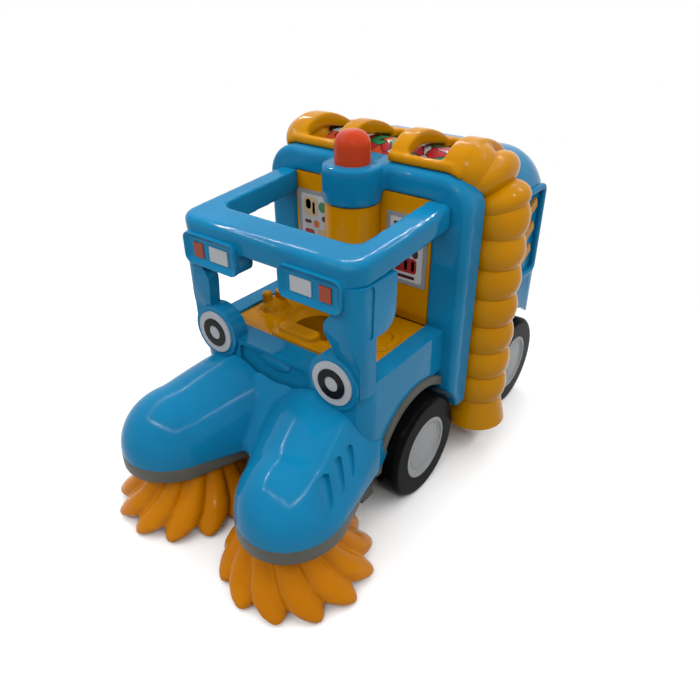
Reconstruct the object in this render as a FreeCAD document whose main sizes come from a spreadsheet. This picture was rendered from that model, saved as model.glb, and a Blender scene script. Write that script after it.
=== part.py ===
"""A moulded plastic toy street sweeper truck: two turning brushes under a splayed nose, an open cab for a
figure, and a closed hopper behind an arch of ribbed hose. Millimetres, +Z up, the front faces -Y, +X is the
truck's own left side, and the origin is on the floor under the middle of the truck."""
import FreeCAD, Part
import math
import os
import re
import Sketcher
from FreeCAD import Placement, Rotation, Vector

doc = FreeCAD.newDocument("street_sweeper")
sheet = doc.addObject("Spreadsheet::Sheet", "sizes")
aliases = []
rules = {}
finished = []
X, Y, Z = Vector(1, 0, 0), Vector(0, 1, 0), Vector(0, 0, 1)
left, right = 1, -1
nose_stations = (0.05, 0.18, 0.4, 0.7, 1)    # sections of a pod's nose, as shares of its length
arc_steps = 8                                # spans between the points of a half-elliptical section
brush_levels = 5                             # sections of a brush from crown to tips


def size(alias, value):
    """Adds one driving dimension, in millimetres or degrees, to the sheet."""
    row = len(aliases) + 1
    sheet.set(f"A{row}", alias)
    sheet.set(f"B{row}", str(value))
    sheet.setAlias(f"B{row}", alias)
    aliases.append(alias)


def rule(name, text):
    """Names a length that follows from the sizes."""
    rules[name] = text


# Along the truck
size("front_axle_ahead", 9.5)      # front axle, ahead of the origin
size("wheelbase", 70.8)
size("cab_front", 12.6)            # face of the front panel, ahead of the front wheels
size("roof_front", 15)             # front face of the roof, ahead of the front wheels
size("bulkhead_front", 14.7)       # front face of the bulkhead, behind the front axle
size("hose_share", 0.98342)        # hose centre line, behind the bulkhead as a share of its depth
size("hopper_overhang", 28.68)     # rear face of the hopper, behind the rear axle
rule("front_axle", "0 - front_axle_ahead")
rule("rear_axle", "wheelbase - front_axle_ahead")
rule("cab_face", "front_axle - wheel_radius - cab_front")
rule("roof_face", "front_axle - wheel_radius - roof_front")
rule("bulkhead_face", "front_axle + bulkhead_front")
rule("hose_y", "bulkhead_back + bulkhead_depth * hose_share")
rule("hopper_end", "rear_axle + hopper_overhang")

# Fits and cuts
size("running_gap", 0.08)          # radial clearance of every turning shaft
size("seat_gap", 0.2)              # between mouldings that are pushed together
size("trim_thickness", 0.6)        # plates and discs that are pressed on
size("dome_share", 0.8)            # rounding of a dome or a knob, as a share of its radius
size("past", 1)                    # a cut starts this far outside its piece
size("reach", 90)                  # half the length of a cut that goes right through the truck

# Wheels and axles
size("wheel_radius", 20)
size("wheel_width", 10)
size("wheel_face", 3.2)            # outer face of the wheels, outside the hopper's side
size("wheel_side_gap", 1.7)        # from the wheels to the floor's edge
size("tyre_rounding", 2.2)
size("hub_radius", 11.9)
size("hub_rim", 1.3)
size("hub_dish", 0.5)
size("hub_cap", 2.4)               # plastic over the end of the axle
size("axle_radius", 2)

# Chassis
size("seam_height", 27.4)          # top of the tray and the floor
size("tray_edge", 5)
size("arch_gap", 3)
size("arch_flange", 3)
size("arch_cover", 3.7)            # the wheels' faces stand out of the arches by this
size("arch_lap", 2)                # the arches grow out of the floor by this
size("front_wall_foot", 8)         # bottom of the wall ahead of the front wheels
size("front_wall_ahead", 1)        # the wall, ahead of the arches
size("front_wall_wider", 3)        # the wall's ends, outside the floor's edge
size("bearing_inset", 10)          # middle of a bearing block, inside the floor's edge
size("bearing_width", 8)
size("bearing_drop", 5)            # plastic under the axle
size("rail_inset", 6)
size("rail_width", 3)
size("rail_end_gap", 18)           # end of the floor and the rails, ahead of the hopper's rear
rule("tray_bottom", "seam_height - tray_edge")
rule("flange_radius", "wheel_radius + arch_gap + arch_flange")
rule("wheel_side", "hopper_half_width + wheel_face")
rule("floor_half_width", "wheel_side - wheel_width - wheel_side_gap")
rule("floor_end", "hopper_end - rail_end_gap")
rule("front_wall_half", "floor_half_width + front_wall_wider")
rule("arch_half_width", "wheel_side - arch_cover")
rule("bearing_place", "floor_half_width - bearing_inset")

# Brushes
size("brush_tip_radius", 26.2)
size("brush_gap", 1)               # between the tips of the two brushes
size("brush_gap_behind", 1.3)      # from the tips to the wall ahead of the front wheels
size("brush_lobe_depth", 4.6)
size("brush_crown_radius", 15.5)
size("brush_crown_flute", 0.2)     # depth of the flutes at the crown, as a share of that at the tips
size("brush_flare", 1.3)           # power of the curve from crown to tips
size("brush_wall", 5)
size("brush_hollow_taper", 2)
size("brush_floor_gap", 1.2)
size("brush_top_gap", 1.2)
size("brush_lobes", 12)
size("brush_twist", 26)            # the flutes turn by this from crown to tip
size("brush_tip_angle", -10)       # first tip, from straight out on the left
size("lobe_breadth", 0.28)         # full part of a lobe to each side, as a share of the pitch
size("lobe_fullness", 0.8)
size("spindle_radius", 2.6)
size("spindle_head_radius", 4.5)
size("spindle_head_height", 1.6)
rule("brush_spacing", "brush_tip_radius + brush_gap / 2")
rule("brush_y", "front_axle - flange_radius - front_wall_ahead - brush_gap_behind - brush_tip_radius")
rule("brush_top", "tray_bottom - brush_top_gap")
rule("brush_roof", "brush_top - brush_wall")

# Nose pods
size("pod_half_width", 18.2)
size("pod_nose_length", 20.6)
size("pod_splay", 18.3)
size("pod_height", 19.2)           # over the seam, at the brush
size("pod_rear_height", 27.6)      # over the seam, at the cab
size("pod_length", 30)
size("hood_wall", 2.4)
size("hood_deck_width", 30)
size("hood_deck_depth", 6)
size("hood_deck_height", 18)
size("lamp_boss_room", 20)         # clear space in the hood, ahead of a lamp

# Hopper width, on which the other widths depend
size("hopper_half_width", 38.5)
size("cab_inset", 1.5)             # side of the cab, inside the hopper's
size("bulkhead_flare", 4)          # side of the bulkhead, outside the hopper's
size("hose_out", 2.8)              # hose centre line, outside the hopper's side
rule("cab_half_width", "hopper_half_width - cab_inset")
rule("bulkhead_half_width", "hopper_half_width + bulkhead_flare")
rule("hose_place", "hopper_half_width + hose_out")

# Cab
size("cab_wall", 3)
size("cab_corner", 8)
size("sill_height", 60.5)
size("sill_width", 7)
size("sill_depth", 9)              # width of the sill across the front
size("sill_thickness", 3)
size("side_bottom", 44.4)
size("lamp_drop", 0.1)             # middle of a round lamp, under the sill
size("lamp_inset", 11)             # middle of a round lamp, inside the cab's side
size("lamp_radius", 7.6)
size("lamp_boss_radius", 9.6)
size("lamp_boss_proud", 0.9)
size("lamp_boss_depth", 6)
size("lamp_ring_radius", 5.2)
size("lamp_ring_hole", 2.6)
size("pillar_thickness", 4.4)
size("pillar_top_width", 8.6)
size("pillar_knee_width", 12.6)
size("pillar_foot_width", 9.6)
size("pillar_knee", 18.5)          # middle of the knee, over the sill
size("pillar_knee_depth", 3)
size("pillar_flare", 8)            # height over which the pillar widens to its knee
size("pillar_lean", 2.6)           # the knee stands this far ahead of the cab's face
size("pillar_lean_start", 8)       # over the sill
size("pillar_corner", 6)
size("pillar_side_depth", 16.4)
size("pillar_side_drop", 2)        # underside of the pillar's broad side, under the knee
size("pillar_side_lip", 6.6)
size("pillar_side_rounding", 6)
size("window_height", 33.3)        # from the sill to the roof's front
rule("sill_underside", "sill_height - sill_thickness")
rule("lamp_height", "sill_height - lamp_drop")
rule("lamp_place", "cab_half_width - lamp_inset")
rule("lamp_face", "cab_face - lamp_boss_proud - trim_thickness")
rule("pillar_knee_height", "sill_height + pillar_knee")
rule("pillar_side_foot", "pillar_knee_height - pillar_side_drop")
rule("pillar_lean_height", "sill_height + pillar_lean_start")
rule("knee_face", "cab_face - pillar_lean")

# Roof
size("roof_slope", 4.5)
size("roof_thickness", 8)
size("roof_inset", 0.6)            # side of the roof, inside the cab's
size("roof_bar", 8.4)              # width of the bars at the sides
size("roof_front_bar", 12.6)
size("roof_lap", 4)                # the roof is made this much longer and cut off at the bulkhead
size("roof_corner", 7)
size("roof_edge", 2.2)
size("lamp_box_inner", 9)
size("lamp_box_inset", 5)          # outer end of a lamp box, inside the cab's side
size("lamp_box_drop", 6.8)         # bottom of a lamp box, under the roof's front
size("lamp_box_height", 10.4)
size("lamp_box_depth", 7)
size("lamp_box_proud", 0.6)
size("lamp_box_corner", 2.2)
size("plate_rise", 2.4)
size("plate_height", 4.9)
size("white_plate_start", 0.174)   # starts and widths of the plates, as shares of a lamp box
size("white_plate_share", 0.348)
size("orange_plate_start", 0.652)
size("orange_plate_share", 0.187)
rule("roof_underside", "sill_height + window_height")
rule("roof_half_width", "cab_half_width - roof_inset")
rule("roof_length", "bulkhead_face - roof_face + roof_lap")
rule("box_face", "roof_face - lamp_box_proud")
rule("lamp_box_outer", "cab_half_width - lamp_box_inset")
rule("lamp_box_width", "lamp_box_outer - lamp_box_inner")
rule("lamp_box_bottom", "roof_underside - lamp_box_drop")
rule("plate_bottom", "lamp_box_bottom + plate_rise")

# Bulkhead, column and beacon
size("bulkhead_rise", 19.9)        # top, over the roof's front
size("bulkhead_depth", 12)
size("bulkhead_foot", 26)
size("bulkhead_leg", 13)
size("bulkhead_shoulder", 12)
size("bulkhead_edge", 2.5)
size("bulkhead_wheel_gap", 1.5)
size("top_bar", 8.5)
size("wall_thickness", 3)
size("wall_recess", 0.4)
size("column_radius", 10.4)
size("column_ahead", 3.7)          # middle of the column, ahead of the bulkhead
size("column_cap_height", 12.8)
size("column_step", 0.8)           # the lower column is thinner by this
size("beacon_radius", 6.1)
size("beacon_height", 10.6)
size("picture_margin", 1.3)        # from the column and from the leg
size("picture_height", 25.4)
size("picture_rise", 13)           # over the sill
size("picture_thickness", 0.3)
rule("bulkhead_back", "bulkhead_face + bulkhead_depth")
rule("bulkhead_top", "roof_underside + bulkhead_rise")
rule("opening_half", "bulkhead_half_width - bulkhead_leg")
rule("opening_top", "bulkhead_top - top_bar")
rule("wall_face", "bulkhead_face + wall_recess")
rule("column_y", "bulkhead_face - column_ahead")
rule("cap_bottom", "bulkhead_top - column_cap_height")
rule("picture_bottom", "sill_height + picture_rise")

# Cab interior
size("interior_drop", 0.9)         # deck, under the sill
size("interior_thickness", 3)
size("well_radius", 9)
size("well_wall", 2)
size("well_bottom", 38)
size("well_ahead", 9)              # middle of the well, ahead of the front axle
size("dash_height", 4.4)
size("dash_depth", 5)
size("dash_half_width", 14)
size("dash_rounding", 2)
size("console_inset", 12.5)        # middle of the console, inside the cab's side
size("console_half_width", 4.6)
size("console_half_length", 4)
size("console_behind", 3)          # middle of the console, behind the well's
size("console_height", 5)
size("knob_radius", 1.8)
size("knob_spacing", 4.6)
size("knob_height", 3)
rule("interior_top", "sill_height - interior_drop")
rule("deck_bottom", "interior_top - interior_thickness")
rule("deck_half", "cab_half_width - sill_width - seat_gap")
rule("deck_front", "cab_face + sill_depth + seat_gap")
rule("well_y", "front_axle - well_ahead")
rule("console_x", "console_inset - cab_half_width")
rule("console_y", "well_y + console_behind")
rule("console_top", "interior_top + console_height")
rule("dash_top", "interior_top + dash_height")

# Litter drum and hopper
size("drum_radius", 12)
size("drum_gap", 1.2)
size("drum_rise", 2.4)             # top of the drum, over the front of the hopper's top
size("drum_end_gap", 1.2)
size("drum_axle_radius", 2.5)
size("drum_axle_cover", 4)         # from the axle's end to the hopper's side
size("drum_bay_wall", 7.5)         # from the drum's slot to the hopper's side
size("hopper_wall", 2.5)
size("hopper_top_drop", 0.9)       # top at the front, under the bulkhead's
size("hopper_crest_rise", 0.9)     # top behind the windows, over the bulkhead's
size("hopper_rear_drop", 7.7)      # top at the rear, under the bulkhead's
size("hopper_floor", 46)
size("hopper_skirt", 30)
size("hopper_tail_height", 52)
size("hopper_tail_cut", 14)        # the skirt's rear end, ahead of the rear face
size("hopper_dome", 32)
size("hopper_edge", 15)
size("rear_wheel_gap", 4)
size("panel_ahead", 30)            # side panels, ahead of the hopper's rear
size("panel_length", 14)
size("panel_bottom", 60)
size("panel_top_drop", 12)         # top of a panel, under the hopper's rear top
size("panel_depth", 1)
size("bar_length", 10)
size("bar_width", 4)
size("bar_slant", 30)
size("bar_inset", 3)
size("bar_share", 0.2794)          # spacing of the bars, as a share of a panel's height
size("rear_lamp_radius", 4)
size("rear_lamp_place", 16)
size("rear_lamp_height", 60)
rule("hopper_front_top", "bulkhead_top - hopper_top_drop")
rule("hopper_crest", "bulkhead_top + hopper_crest_rise")
rule("hopper_rear_top", "bulkhead_top - hopper_rear_drop")
rule("drum_y", "bulkhead_back + drum_gap + drum_radius")
rule("drum_z", "hopper_front_top + drum_rise - drum_radius")
rule("slot_half", "hopper_half_width - drum_bay_wall")
rule("slot_end", "drum_y + drum_radius + drum_gap")
rule("panel_front", "hopper_end - panel_ahead")
rule("panel_height", "hopper_rear_top - panel_top_drop - panel_bottom")

# Ribbed hose and the arches over the drum
size("hose_radius", 11)
size("hose_neck_radius", 9.5)
size("hose_top_drop", 11.8)        # top of the straight hose, under the bulkhead's
size("hose_lobes", 7)
size("nozzle_foot", 12.5)
size("nozzle_height", 11)
size("nozzle_radius", 12)
size("nozzle_gap", 1.2)            # from the nozzle to the wheels
size("shoulder_fullness", 0.6)     # half the thickness of a shoulder lobe, as a share of the pitch
size("shoulder_low_in", 0.6)
size("shoulder_low_lean", 20)
size("shoulder_high_in", 3.4)
size("shoulder_high_ahead", 1.5)
size("shoulder_high_rise", 8)
size("shoulder_high_lean", 50)
size("shoulder_high_trim", 2)
size("shoulder_high_longer", 3)
size("arch_front_inset", 3.3)      # front of the arches, behind the bulkhead's face
size("arch_bearing", 0.9)          # the rear bar rests on the hopper by this
size("arch_side_inset", 5.5)       # ends of the bars, inside the hopper's side
size("sill_bar", 3.8)
size("sill_bar_height", 3.2)
size("rib_thickness", 8)
size("outer_rib_thickness", 7.5)
size("rib_share", 0.56104)         # from rib to rib, as a share of the hopper's half width
size("rib_rise", 8.2)              # crest of a rib, over the bulkhead's top
size("rib_depth", 5)
size("rib_crown", 9.7)             # crest of a rib, behind its front
size("rib_fall", 0.4)
size("rib_tail_run", 2.4)
size("rib_tail_rise", 1.9)
rule("hose_top", "bulkhead_top - hose_top_drop")
rule("hose_low", "nozzle_foot + nozzle_height")
rule("hose_pitch", "(hose_top - hose_low) / hose_lobes")
rule("arch_front", "bulkhead_face + arch_front_inset")
rule("arch_end", "slot_end + arch_bearing")
rule("arch_half", "hopper_half_width - arch_side_inset")
rule("rib_spacing", "hopper_half_width * rib_share")
doc.recompute()


def meaning(word):
    """A word of a rule: another rule, a cell of the sheet, or the word as it is."""
    if word[0] in rules:
        return f"({expression(rules[word[0]])})"
    return f"sizes.{word[0]}" if word[0] in aliases else word[0]


def expression(text):
    """A rule with its words made into references to the sheet."""
    return re.sub(r"[a-z_]+", meaning, text)


def number(text):
    """The value of a rule on the sheet."""
    return float(sheet.evalExpression(expression(text)))


def bind(thing, **lengths):
    """Binds properties of a document object to rules on the sheet."""
    for name, text in lengths.items():
        thing.setExpression(name, expression(text))
    return thing


def place(thing, x="0", y="0", z="0"):
    """Binds an object's place to rules on the sheet."""
    for axis, text in zip("xyz", (x, y, z)):
        thing.setExpression(f"Placement.Base.{axis}", expression(text))
    return thing


def box(name, x, y, z):
    """A box between pairs of rules."""
    thing = doc.addObject("Part::Box", name)
    for side, (low, high) in zip(("Length", "Width", "Height"), (x, y, z)):
        thing.setExpression(side, expression(f"{high} - ({low})"))
    return place(thing, x[0], y[0], z[0])


def rod(name, radius, axis, start, length, *centre):
    """A cylinder along an axis: where it starts and ends on that axis, and its centre on the other two."""
    thing = doc.addObject("Part::Cylinder", name)
    bind(thing, Radius=radius, Height=length)
    if axis is X:
        thing.Placement = Placement(Vector(), Rotation(Y, 90))
        return place(thing, start, *centre)
    if axis is Y:
        thing.Placement = Placement(Vector(), Rotation(X, -90))
        return place(thing, centre[0], start, centre[1])
    return place(thing, *centre, start)


def coded(name, shape):
    """A document object whose shape the functions here work out from the sheet."""
    thing = doc.addObject("Part::Feature", name)
    thing.Shape = shape
    return thing


def joined(name, things):
    """The union of document objects."""
    union = doc.addObject("Part::MultiFuse", name)
    union.Shapes = things
    union.Refine = True
    return union


def cut(name, base, tools):
    """A document object less others."""
    result = doc.addObject("Part::Cut", name)
    result.Base = base
    result.Tool = tools[0] if len(tools) == 1 else joined(name + "_tools", tools)
    result.Refine = True
    return result


def shared(name, things):
    """What document objects have in common."""
    result = doc.addObject("Part::MultiCommon", name)
    result.Shapes = things
    return result


def pair(thing):
    """A left-hand object with its mirror image on the right."""
    image = doc.addObject("Part::Mirroring", thing.Name + "_right")
    image.Source = thing
    image.Normal = X
    return [thing, image]


def grouped(name, things):
    """Like pieces that don't touch, as one object."""
    group = doc.addObject("Part::Compound", name)
    group.Links = things
    return group


def eased(name, base, radius, wanted):
    """Rounds the edges of a document object that a test picks."""
    doc.recompute()
    picked = [k + 1 for k, edge in enumerate(base.Shape.Edges) if wanted(edge)]
    result = doc.addObject("Part::Fillet", name)
    result.Base = base
    result.Edges = [(k, number(radius), number(radius)) for k in picked]
    return result


def along(edge, axis):
    """Whether a straight edge runs along an axis."""
    if not isinstance(edge.Curve, Part.Line):
        return False
    return abs(abs(edge.Curve.Direction.dot(axis)) - 1) < 1e-6


def near(value, text):
    """Whether a coordinate lies at the place that a rule gives."""
    return abs(value - number(text)) < 0.1


def outlined(name, plane, corners):
    """A body with a sketch on one of its planes: a closed outline with every corner bound to the sheet."""
    body = doc.addObject("PartDesign::Body", name)
    sketch = body.newObject("Sketcher::SketchObject", name + "_outline")
    sketch.AttachmentSupport = [(next(f for f in body.Origin.OriginFeatures if f.Role == plane), "")]
    sketch.MapMode = "FlatFace"
    points = [Vector(number(across), number(up), 0) for across, up in corners]
    for k, point in enumerate(points):
        sketch.addGeometry(Part.LineSegment(point, points[(k + 1) % len(points)]))
    for k in range(len(points)):
        sketch.addConstraint(Sketcher.Constraint("Coincident", k, 2, (k + 1) % len(points), 1))
    for k, corner in enumerate(corners):
        for kind, text, value in zip(("DistanceX", "DistanceY"), corner, points[k]):
            row = sketch.addConstraint(Sketcher.Constraint(kind, -1, 1, k, 1, value))
            sketch.setExpression(f"Constraints[{row}]", expression(text))
    return body, sketch


def padded(name, plane, corners, length):
    """A bound outline padded to both sides of its plane."""
    body, sketch = outlined(name, plane, corners)
    pad = body.newObject("PartDesign::Pad", name + "_pad")
    pad.Profile = sketch
    pad.Midplane = True
    bind(pad, Length=length)
    doc.recompute()
    return body


def turned(name, corners):
    """A bound outline revolved about the line through the wheels' centres."""
    body, sketch = outlined(name, "XZ_Plane", corners)
    revolution = body.newObject("PartDesign::Revolution", name + "_turn")
    revolution.Profile = sketch
    revolution.ReferenceAxis = (sketch, ["H_Axis"])
    revolution.Angle = 360
    doc.recompute()
    return body


def softened(body, radius, wanted):
    """A fillet, bound to the sheet, on the edges of a body that a test picks."""
    base = body.Tip
    picked = [f"Edge{k + 1}" for k, edge in enumerate(base.Shape.Edges) if wanted(edge)]
    fillet = body.newObject("PartDesign::Fillet", body.Name + "_fillet")
    fillet.Base = (base, picked)
    bind(fillet, Radius=radius)
    doc.recompute()
    return body


def sub_part(name, thing):
    """Keeps a document object as one sub-part, under the label that names its file."""
    thing.Label = name
    finished.append(thing)
    return thing


def wheels(end, axle_y):
    """One axle with its two wheels."""
    inner = "wheel_side - wheel_width"
    cap = "wheel_side - hub_cap"
    dish = "wheel_side - hub_dish"
    rim = "hub_radius - hub_rim"
    hub = turned(f"{end}_hub", [(inner, "axle_radius"), (cap, "axle_radius"), (cap, "0"), (dish, "0"),
                                (dish, rim), ("wheel_side", rim), ("wheel_side", "hub_radius"),
                                (inner, "hub_radius")])
    tyre = turned(f"{end}_tyre", [(inner, "hub_radius"), ("wheel_side", "hub_radius"),
                                  ("wheel_side", "wheel_radius"), (inner, "wheel_radius")])
    softened(tyre, "tyre_rounding", lambda edge: edge.BoundBox.ZMax > number("wheel_radius - tyre_rounding"))
    for body in (hub, tyre):
        place(body, "0", axle_y, "wheel_radius")
    sub_part(f"{end}_hubs", grouped(f"{end}_hub_pair", pair(hub)))
    for side, thing in zip(("left", "right"), pair(tyre)):
        sub_part(f"{end}_tyre_{side}", thing)
    half = "(wheel_side - hub_cap)"
    sub_part(f"{end}_axle", rod(f"{end}_pin", "axle_radius", X, f"0 - {half}", f"2 * {half}",
                                axle_y, "wheel_radius"))


def flute_ring(share):
    """One level of a brush, a share of the way down: broad round lobes with narrow valleys between them."""
    height = number("brush_top") + number("brush_floor_gap - brush_top") * share
    flare = share ** number("brush_flare")
    shallow = number("brush_crown_flute")
    depth = number("brush_lobe_depth") * (shallow + (1 - shallow) * flare)
    tip = number("brush_crown_radius") + number("brush_tip_radius - brush_crown_radius") * flare
    turn = math.radians(number("brush_tip_angle") - number("brush_twist") * (1 - share))
    breadth, full = number("lobe_breadth"), number("lobe_fullness")
    lobes = int(number("brush_lobes"))
    points = []
    for k in range(lobes):
        for step, fullness in ((0, 1), (breadth, full), (0.5, 0), (1 - breadth, full)):
            angle = turn + 2 * math.pi * (k + step) / lobes
            radius = tip - depth * (1 - fullness)
            points.append(Vector(radius * math.cos(angle), radius * math.sin(angle), height))
    curve = Part.BSplineCurve()
    curve.interpolate(points, PeriodicFlag=True)
    return Part.Wire(curve.toShape())


def brushes():
    """Two flared, fluted brushes of soft plastic, hollow underneath, each on a spindle with a snap head."""
    rings = [flute_ring(level / (brush_levels - 1)) for level in range(brush_levels)]
    skirt = Part.makeLoft(rings, True, False)
    bottom, roof = number("brush_floor_gap"), number("brush_roof")
    hollow = Part.makeCone(number("brush_tip_radius - brush_lobe_depth - brush_wall"),
                           number("brush_crown_radius - brush_wall - brush_hollow_taper"),
                           roof - bottom, Vector(0, 0, bottom))
    base, head = number("brush_top"), number("seam_height + seat_gap")
    spindle = Part.makeCylinder(number("spindle_radius"), head - base, Vector(0, 0, base))
    cap = Part.makeCylinder(number("spindle_head_radius"), number("spindle_head_height"), Vector(0, 0, head))
    body = place(coded("brush_body", skirt.cut(hollow).fuse([spindle, cap])), "brush_spacing", "brush_y")
    for side, thing in zip(("left", "right"), pair(body)):
        sub_part(f"brush_{side}", thing)


def pod_seat(height):
    """The place of the left pod: over its brush and splayed outwards."""
    spot = Vector(number("brush_spacing"), number("brush_y"), height)
    return Placement(spot, Rotation(Z, number("pod_splay")))


def pod_plate():
    """The tray's plate under the left pod: an elliptical nose with straight flanks behind it."""
    width, nose, back = number("pod_half_width"), number("pod_nose_length"), number("pod_length")
    ellipse = Part.Ellipse(Vector(0, -nose, 0), Vector(width, 0, 0), Vector(0, 0, 0))
    arc = Part.Arc(ellipse, math.pi * 3 / 2, math.pi * 5 / 2).toShape()
    low, high = sorted((corner.Point for corner in arc.Vertexes), key=lambda point: point.x)
    flank = [Part.makeLine(high, high + Y * back), Part.makeLine(high + Y * back, low + Y * back),
             Part.makeLine(low + Y * back, low)]
    wire = Part.Wire(Part.__sortEdges__([arc] + flank))
    plate = Part.Face(wire).extrude(Z * number("tray_edge"))
    plate.Placement = pod_seat(number("tray_bottom"))
    return plate


def pod(wall):
    """The left pod of the hood, or the hollow in it: half-elliptical sections that grow from nose to cab."""
    width, nose = number("pod_half_width") - wall, number("pod_nose_length") - wall
    low, high = number("pod_height") - wall, number("pod_rear_height") - wall
    back = number("pod_length")
    rings = []
    for share in nose_stations:
        grown = math.sqrt(1 - (1 - share) ** 2)
        rings.append((nose * (share - 1), width * grown, low * grown))
    rings += [(back / 2, width, (low + high) / 2), (back, width, high)]
    sections = []
    for y, half, rise in rings:
        turns = [math.pi * k / arc_steps for k in range(arc_steps + 1)]
        arc = [Vector(half * math.cos(turn), y, rise * math.sin(turn)) for turn in turns]
        curve = Part.BSplineCurve()
        curve.interpolate(arc)
        sections.append(Part.Wire([curve.toShape(), Part.makeLine(arc[-1], arc[0])]))
    solid = Part.makeLoft(sections, True, False)
    solid.Placement = pod_seat(number("seam_height"))
    return solid


def hood():
    """Both pods in one hollow moulding, joined by a low deck in front of the cab."""
    pods = pair(coded("pod", pod(0)))
    deck = box("hood_deck", ("0 - hood_deck_width / 2", "hood_deck_width / 2"),
               ("cab_face - hood_deck_depth", "cab_face"), ("seam_height", "seam_height + hood_deck_height"))
    hollows = pair(coded("pod_hollow", pod(number("hood_wall"))))
    boss = rod("lamp_boss_room", "lamp_boss_radius + seat_gap", Y, "cab_face - lamp_boss_room",
               "lamp_boss_room + lamp_boss_depth", "lamp_place", "lamp_height")
    shell = cut("hood_shell", joined("hood_outside", pods + [deck]), hollows)
    rooms = wheel_rooms("front_room", "front_axle", "wheel_radius + arch_gap")
    cab = cab_envelope("cab_room", "seam_height - past")
    sub_part("hood", cut("hood_moulding", shell, pair(boss) + [cab] + rooms))


def cab_envelope(name, bottom):
    """The space inside the cab's outer face, with the rounded front corners."""
    block = box(name, ("0 - cab_half_width", "cab_half_width"), ("cab_face", "bulkhead_face"),
                (bottom, "roof_underside"))
    return eased(name + "_rounded", block, "cab_corner",
                 lambda edge: along(edge, Z) and near(edge.CenterOfMass.y, "cab_face"))


def wheel_rooms(name, axle_y, radius):
    """The clear space round the two wheels of an axle."""
    return pair(rod(name, radius, X, "floor_half_width", "reach", axle_y, "wheel_radius"))


def front_arch():
    """The left arch over a front wheel, down to the underside of the tray."""
    ring = rod("arch_ring", "flange_radius", X, "floor_half_width - arch_lap",
               "arch_half_width - floor_half_width + arch_lap", "front_axle", "wheel_radius")
    keep = box("arch_keep", ("0", "reach"), ("front_axle - reach", "front_axle + reach"),
               ("tray_bottom", "reach"))
    return shared("front_arch", [ring, keep])


def bearings():
    """The blocks under the floor that carry the axles."""
    blocks = []
    for end in ("front", "rear"):
        block = box(f"{end}_bearing",
                    ("bearing_place - bearing_width / 2", "bearing_place + bearing_width / 2"),
                    (f"{end}_axle - bearing_drop", f"{end}_axle + bearing_drop"),
                    ("wheel_radius - bearing_drop", "seam_height"))
        blocks += pair(block)
    return blocks


def underbody_rooms():
    """What is cut from the underbody: the wheels, the axles, the spindles and the bulkhead's legs."""
    rooms = []
    for end in ("front", "rear"):
        rooms += wheel_rooms(f"{end}_wheel_room", f"{end}_axle", "wheel_radius + arch_gap")
        rooms.append(rod(f"{end}_bore", "axle_radius + running_gap", X, "0 - wheel_side", "2 * wheel_side",
                         f"{end}_axle", "wheel_radius"))
    rooms += pair(rod("spindle_bore", "spindle_radius + running_gap", Z, "tray_bottom - past",
                      "tray_edge + 2 * past", "brush_spacing", "brush_y"))
    rooms += pair(box("leg_room", ("opening_half - past", "reach"),
                      ("bulkhead_face - seat_gap", "bulkhead_back + past"), ("bulkhead_foot", "reach")))
    return rooms


def chassis():
    """The underbody: the tray under the pods, the floor, the front arches, bearing blocks and rails."""
    plates = pair(coded("tray", pod_plate()))
    floor = box("floor", ("0 - floor_half_width", "floor_half_width"),
                ("brush_y + pod_nose_length", "floor_end"), ("tray_bottom", "seam_height"))
    wall = box("front_wall", ("0 - front_wall_half", "front_wall_half"),
               ("front_axle - flange_radius - front_wall_ahead", "front_axle - wheel_radius"),
               ("front_wall_foot", "tray_bottom"))
    rail = box("rail", ("floor_half_width - rail_inset", "floor_half_width - rail_inset + rail_width"),
               ("bulkhead_back", "floor_end"), ("seam_height", "hopper_floor - hopper_wall"))
    parts = joined("underbody_parts", plates + [floor, wall] + pair(front_arch()) + bearings() + pair(rail))
    sub_part("chassis", cut("underbody", parts, underbody_rooms()))
    return floor


def pillar_front():
    """The left pillar seen from the front: a narrow top and foot, and a broad knee between them."""
    half, foot, top = "cab_half_width", "sill_underside", "roof_underside + past"
    knee_low, knee_high = "pillar_knee_height", "pillar_knee_height + pillar_knee_depth"
    wide, narrow = f"{half} - pillar_knee_width", f"{half} - pillar_top_width"
    stem = f"{half} - pillar_foot_width"
    outline = [(half, foot), (half, top), (narrow, top), (narrow, "pillar_knee_height + pillar_flare"),
               (wide, knee_high), (wide, knee_low), (stem, "pillar_knee_height - pillar_flare"), (stem, foot)]
    return place(padded("pillar_front", "XZ_Plane", outline, "reach"), "0", "cab_face")


def pillar_side():
    """The pillars seen from the side: they lean out to the knee, and the broad side stops above the sill."""
    foot, top = "sill_underside", "roof_underside + past"
    lip, back = "cab_face + pillar_side_lip", "cab_face + pillar_side_depth"
    outline = [("cab_face", foot), (lip, foot), (lip, "pillar_side_foot"), (back, "pillar_side_foot"),
               (back, top), ("knee_face", top), ("knee_face", "pillar_knee_height"),
               ("cab_face", "pillar_lean_height")]
    side = padded("pillar_side", "YZ_Plane", outline, "2 * cab_half_width")
    return softened(side, "pillar_side_rounding",
                    lambda edge: along(edge, X) and near(edge.CenterOfMass.y, back)
                    and near(edge.CenterOfMass.z, "pillar_side_foot"))


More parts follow.
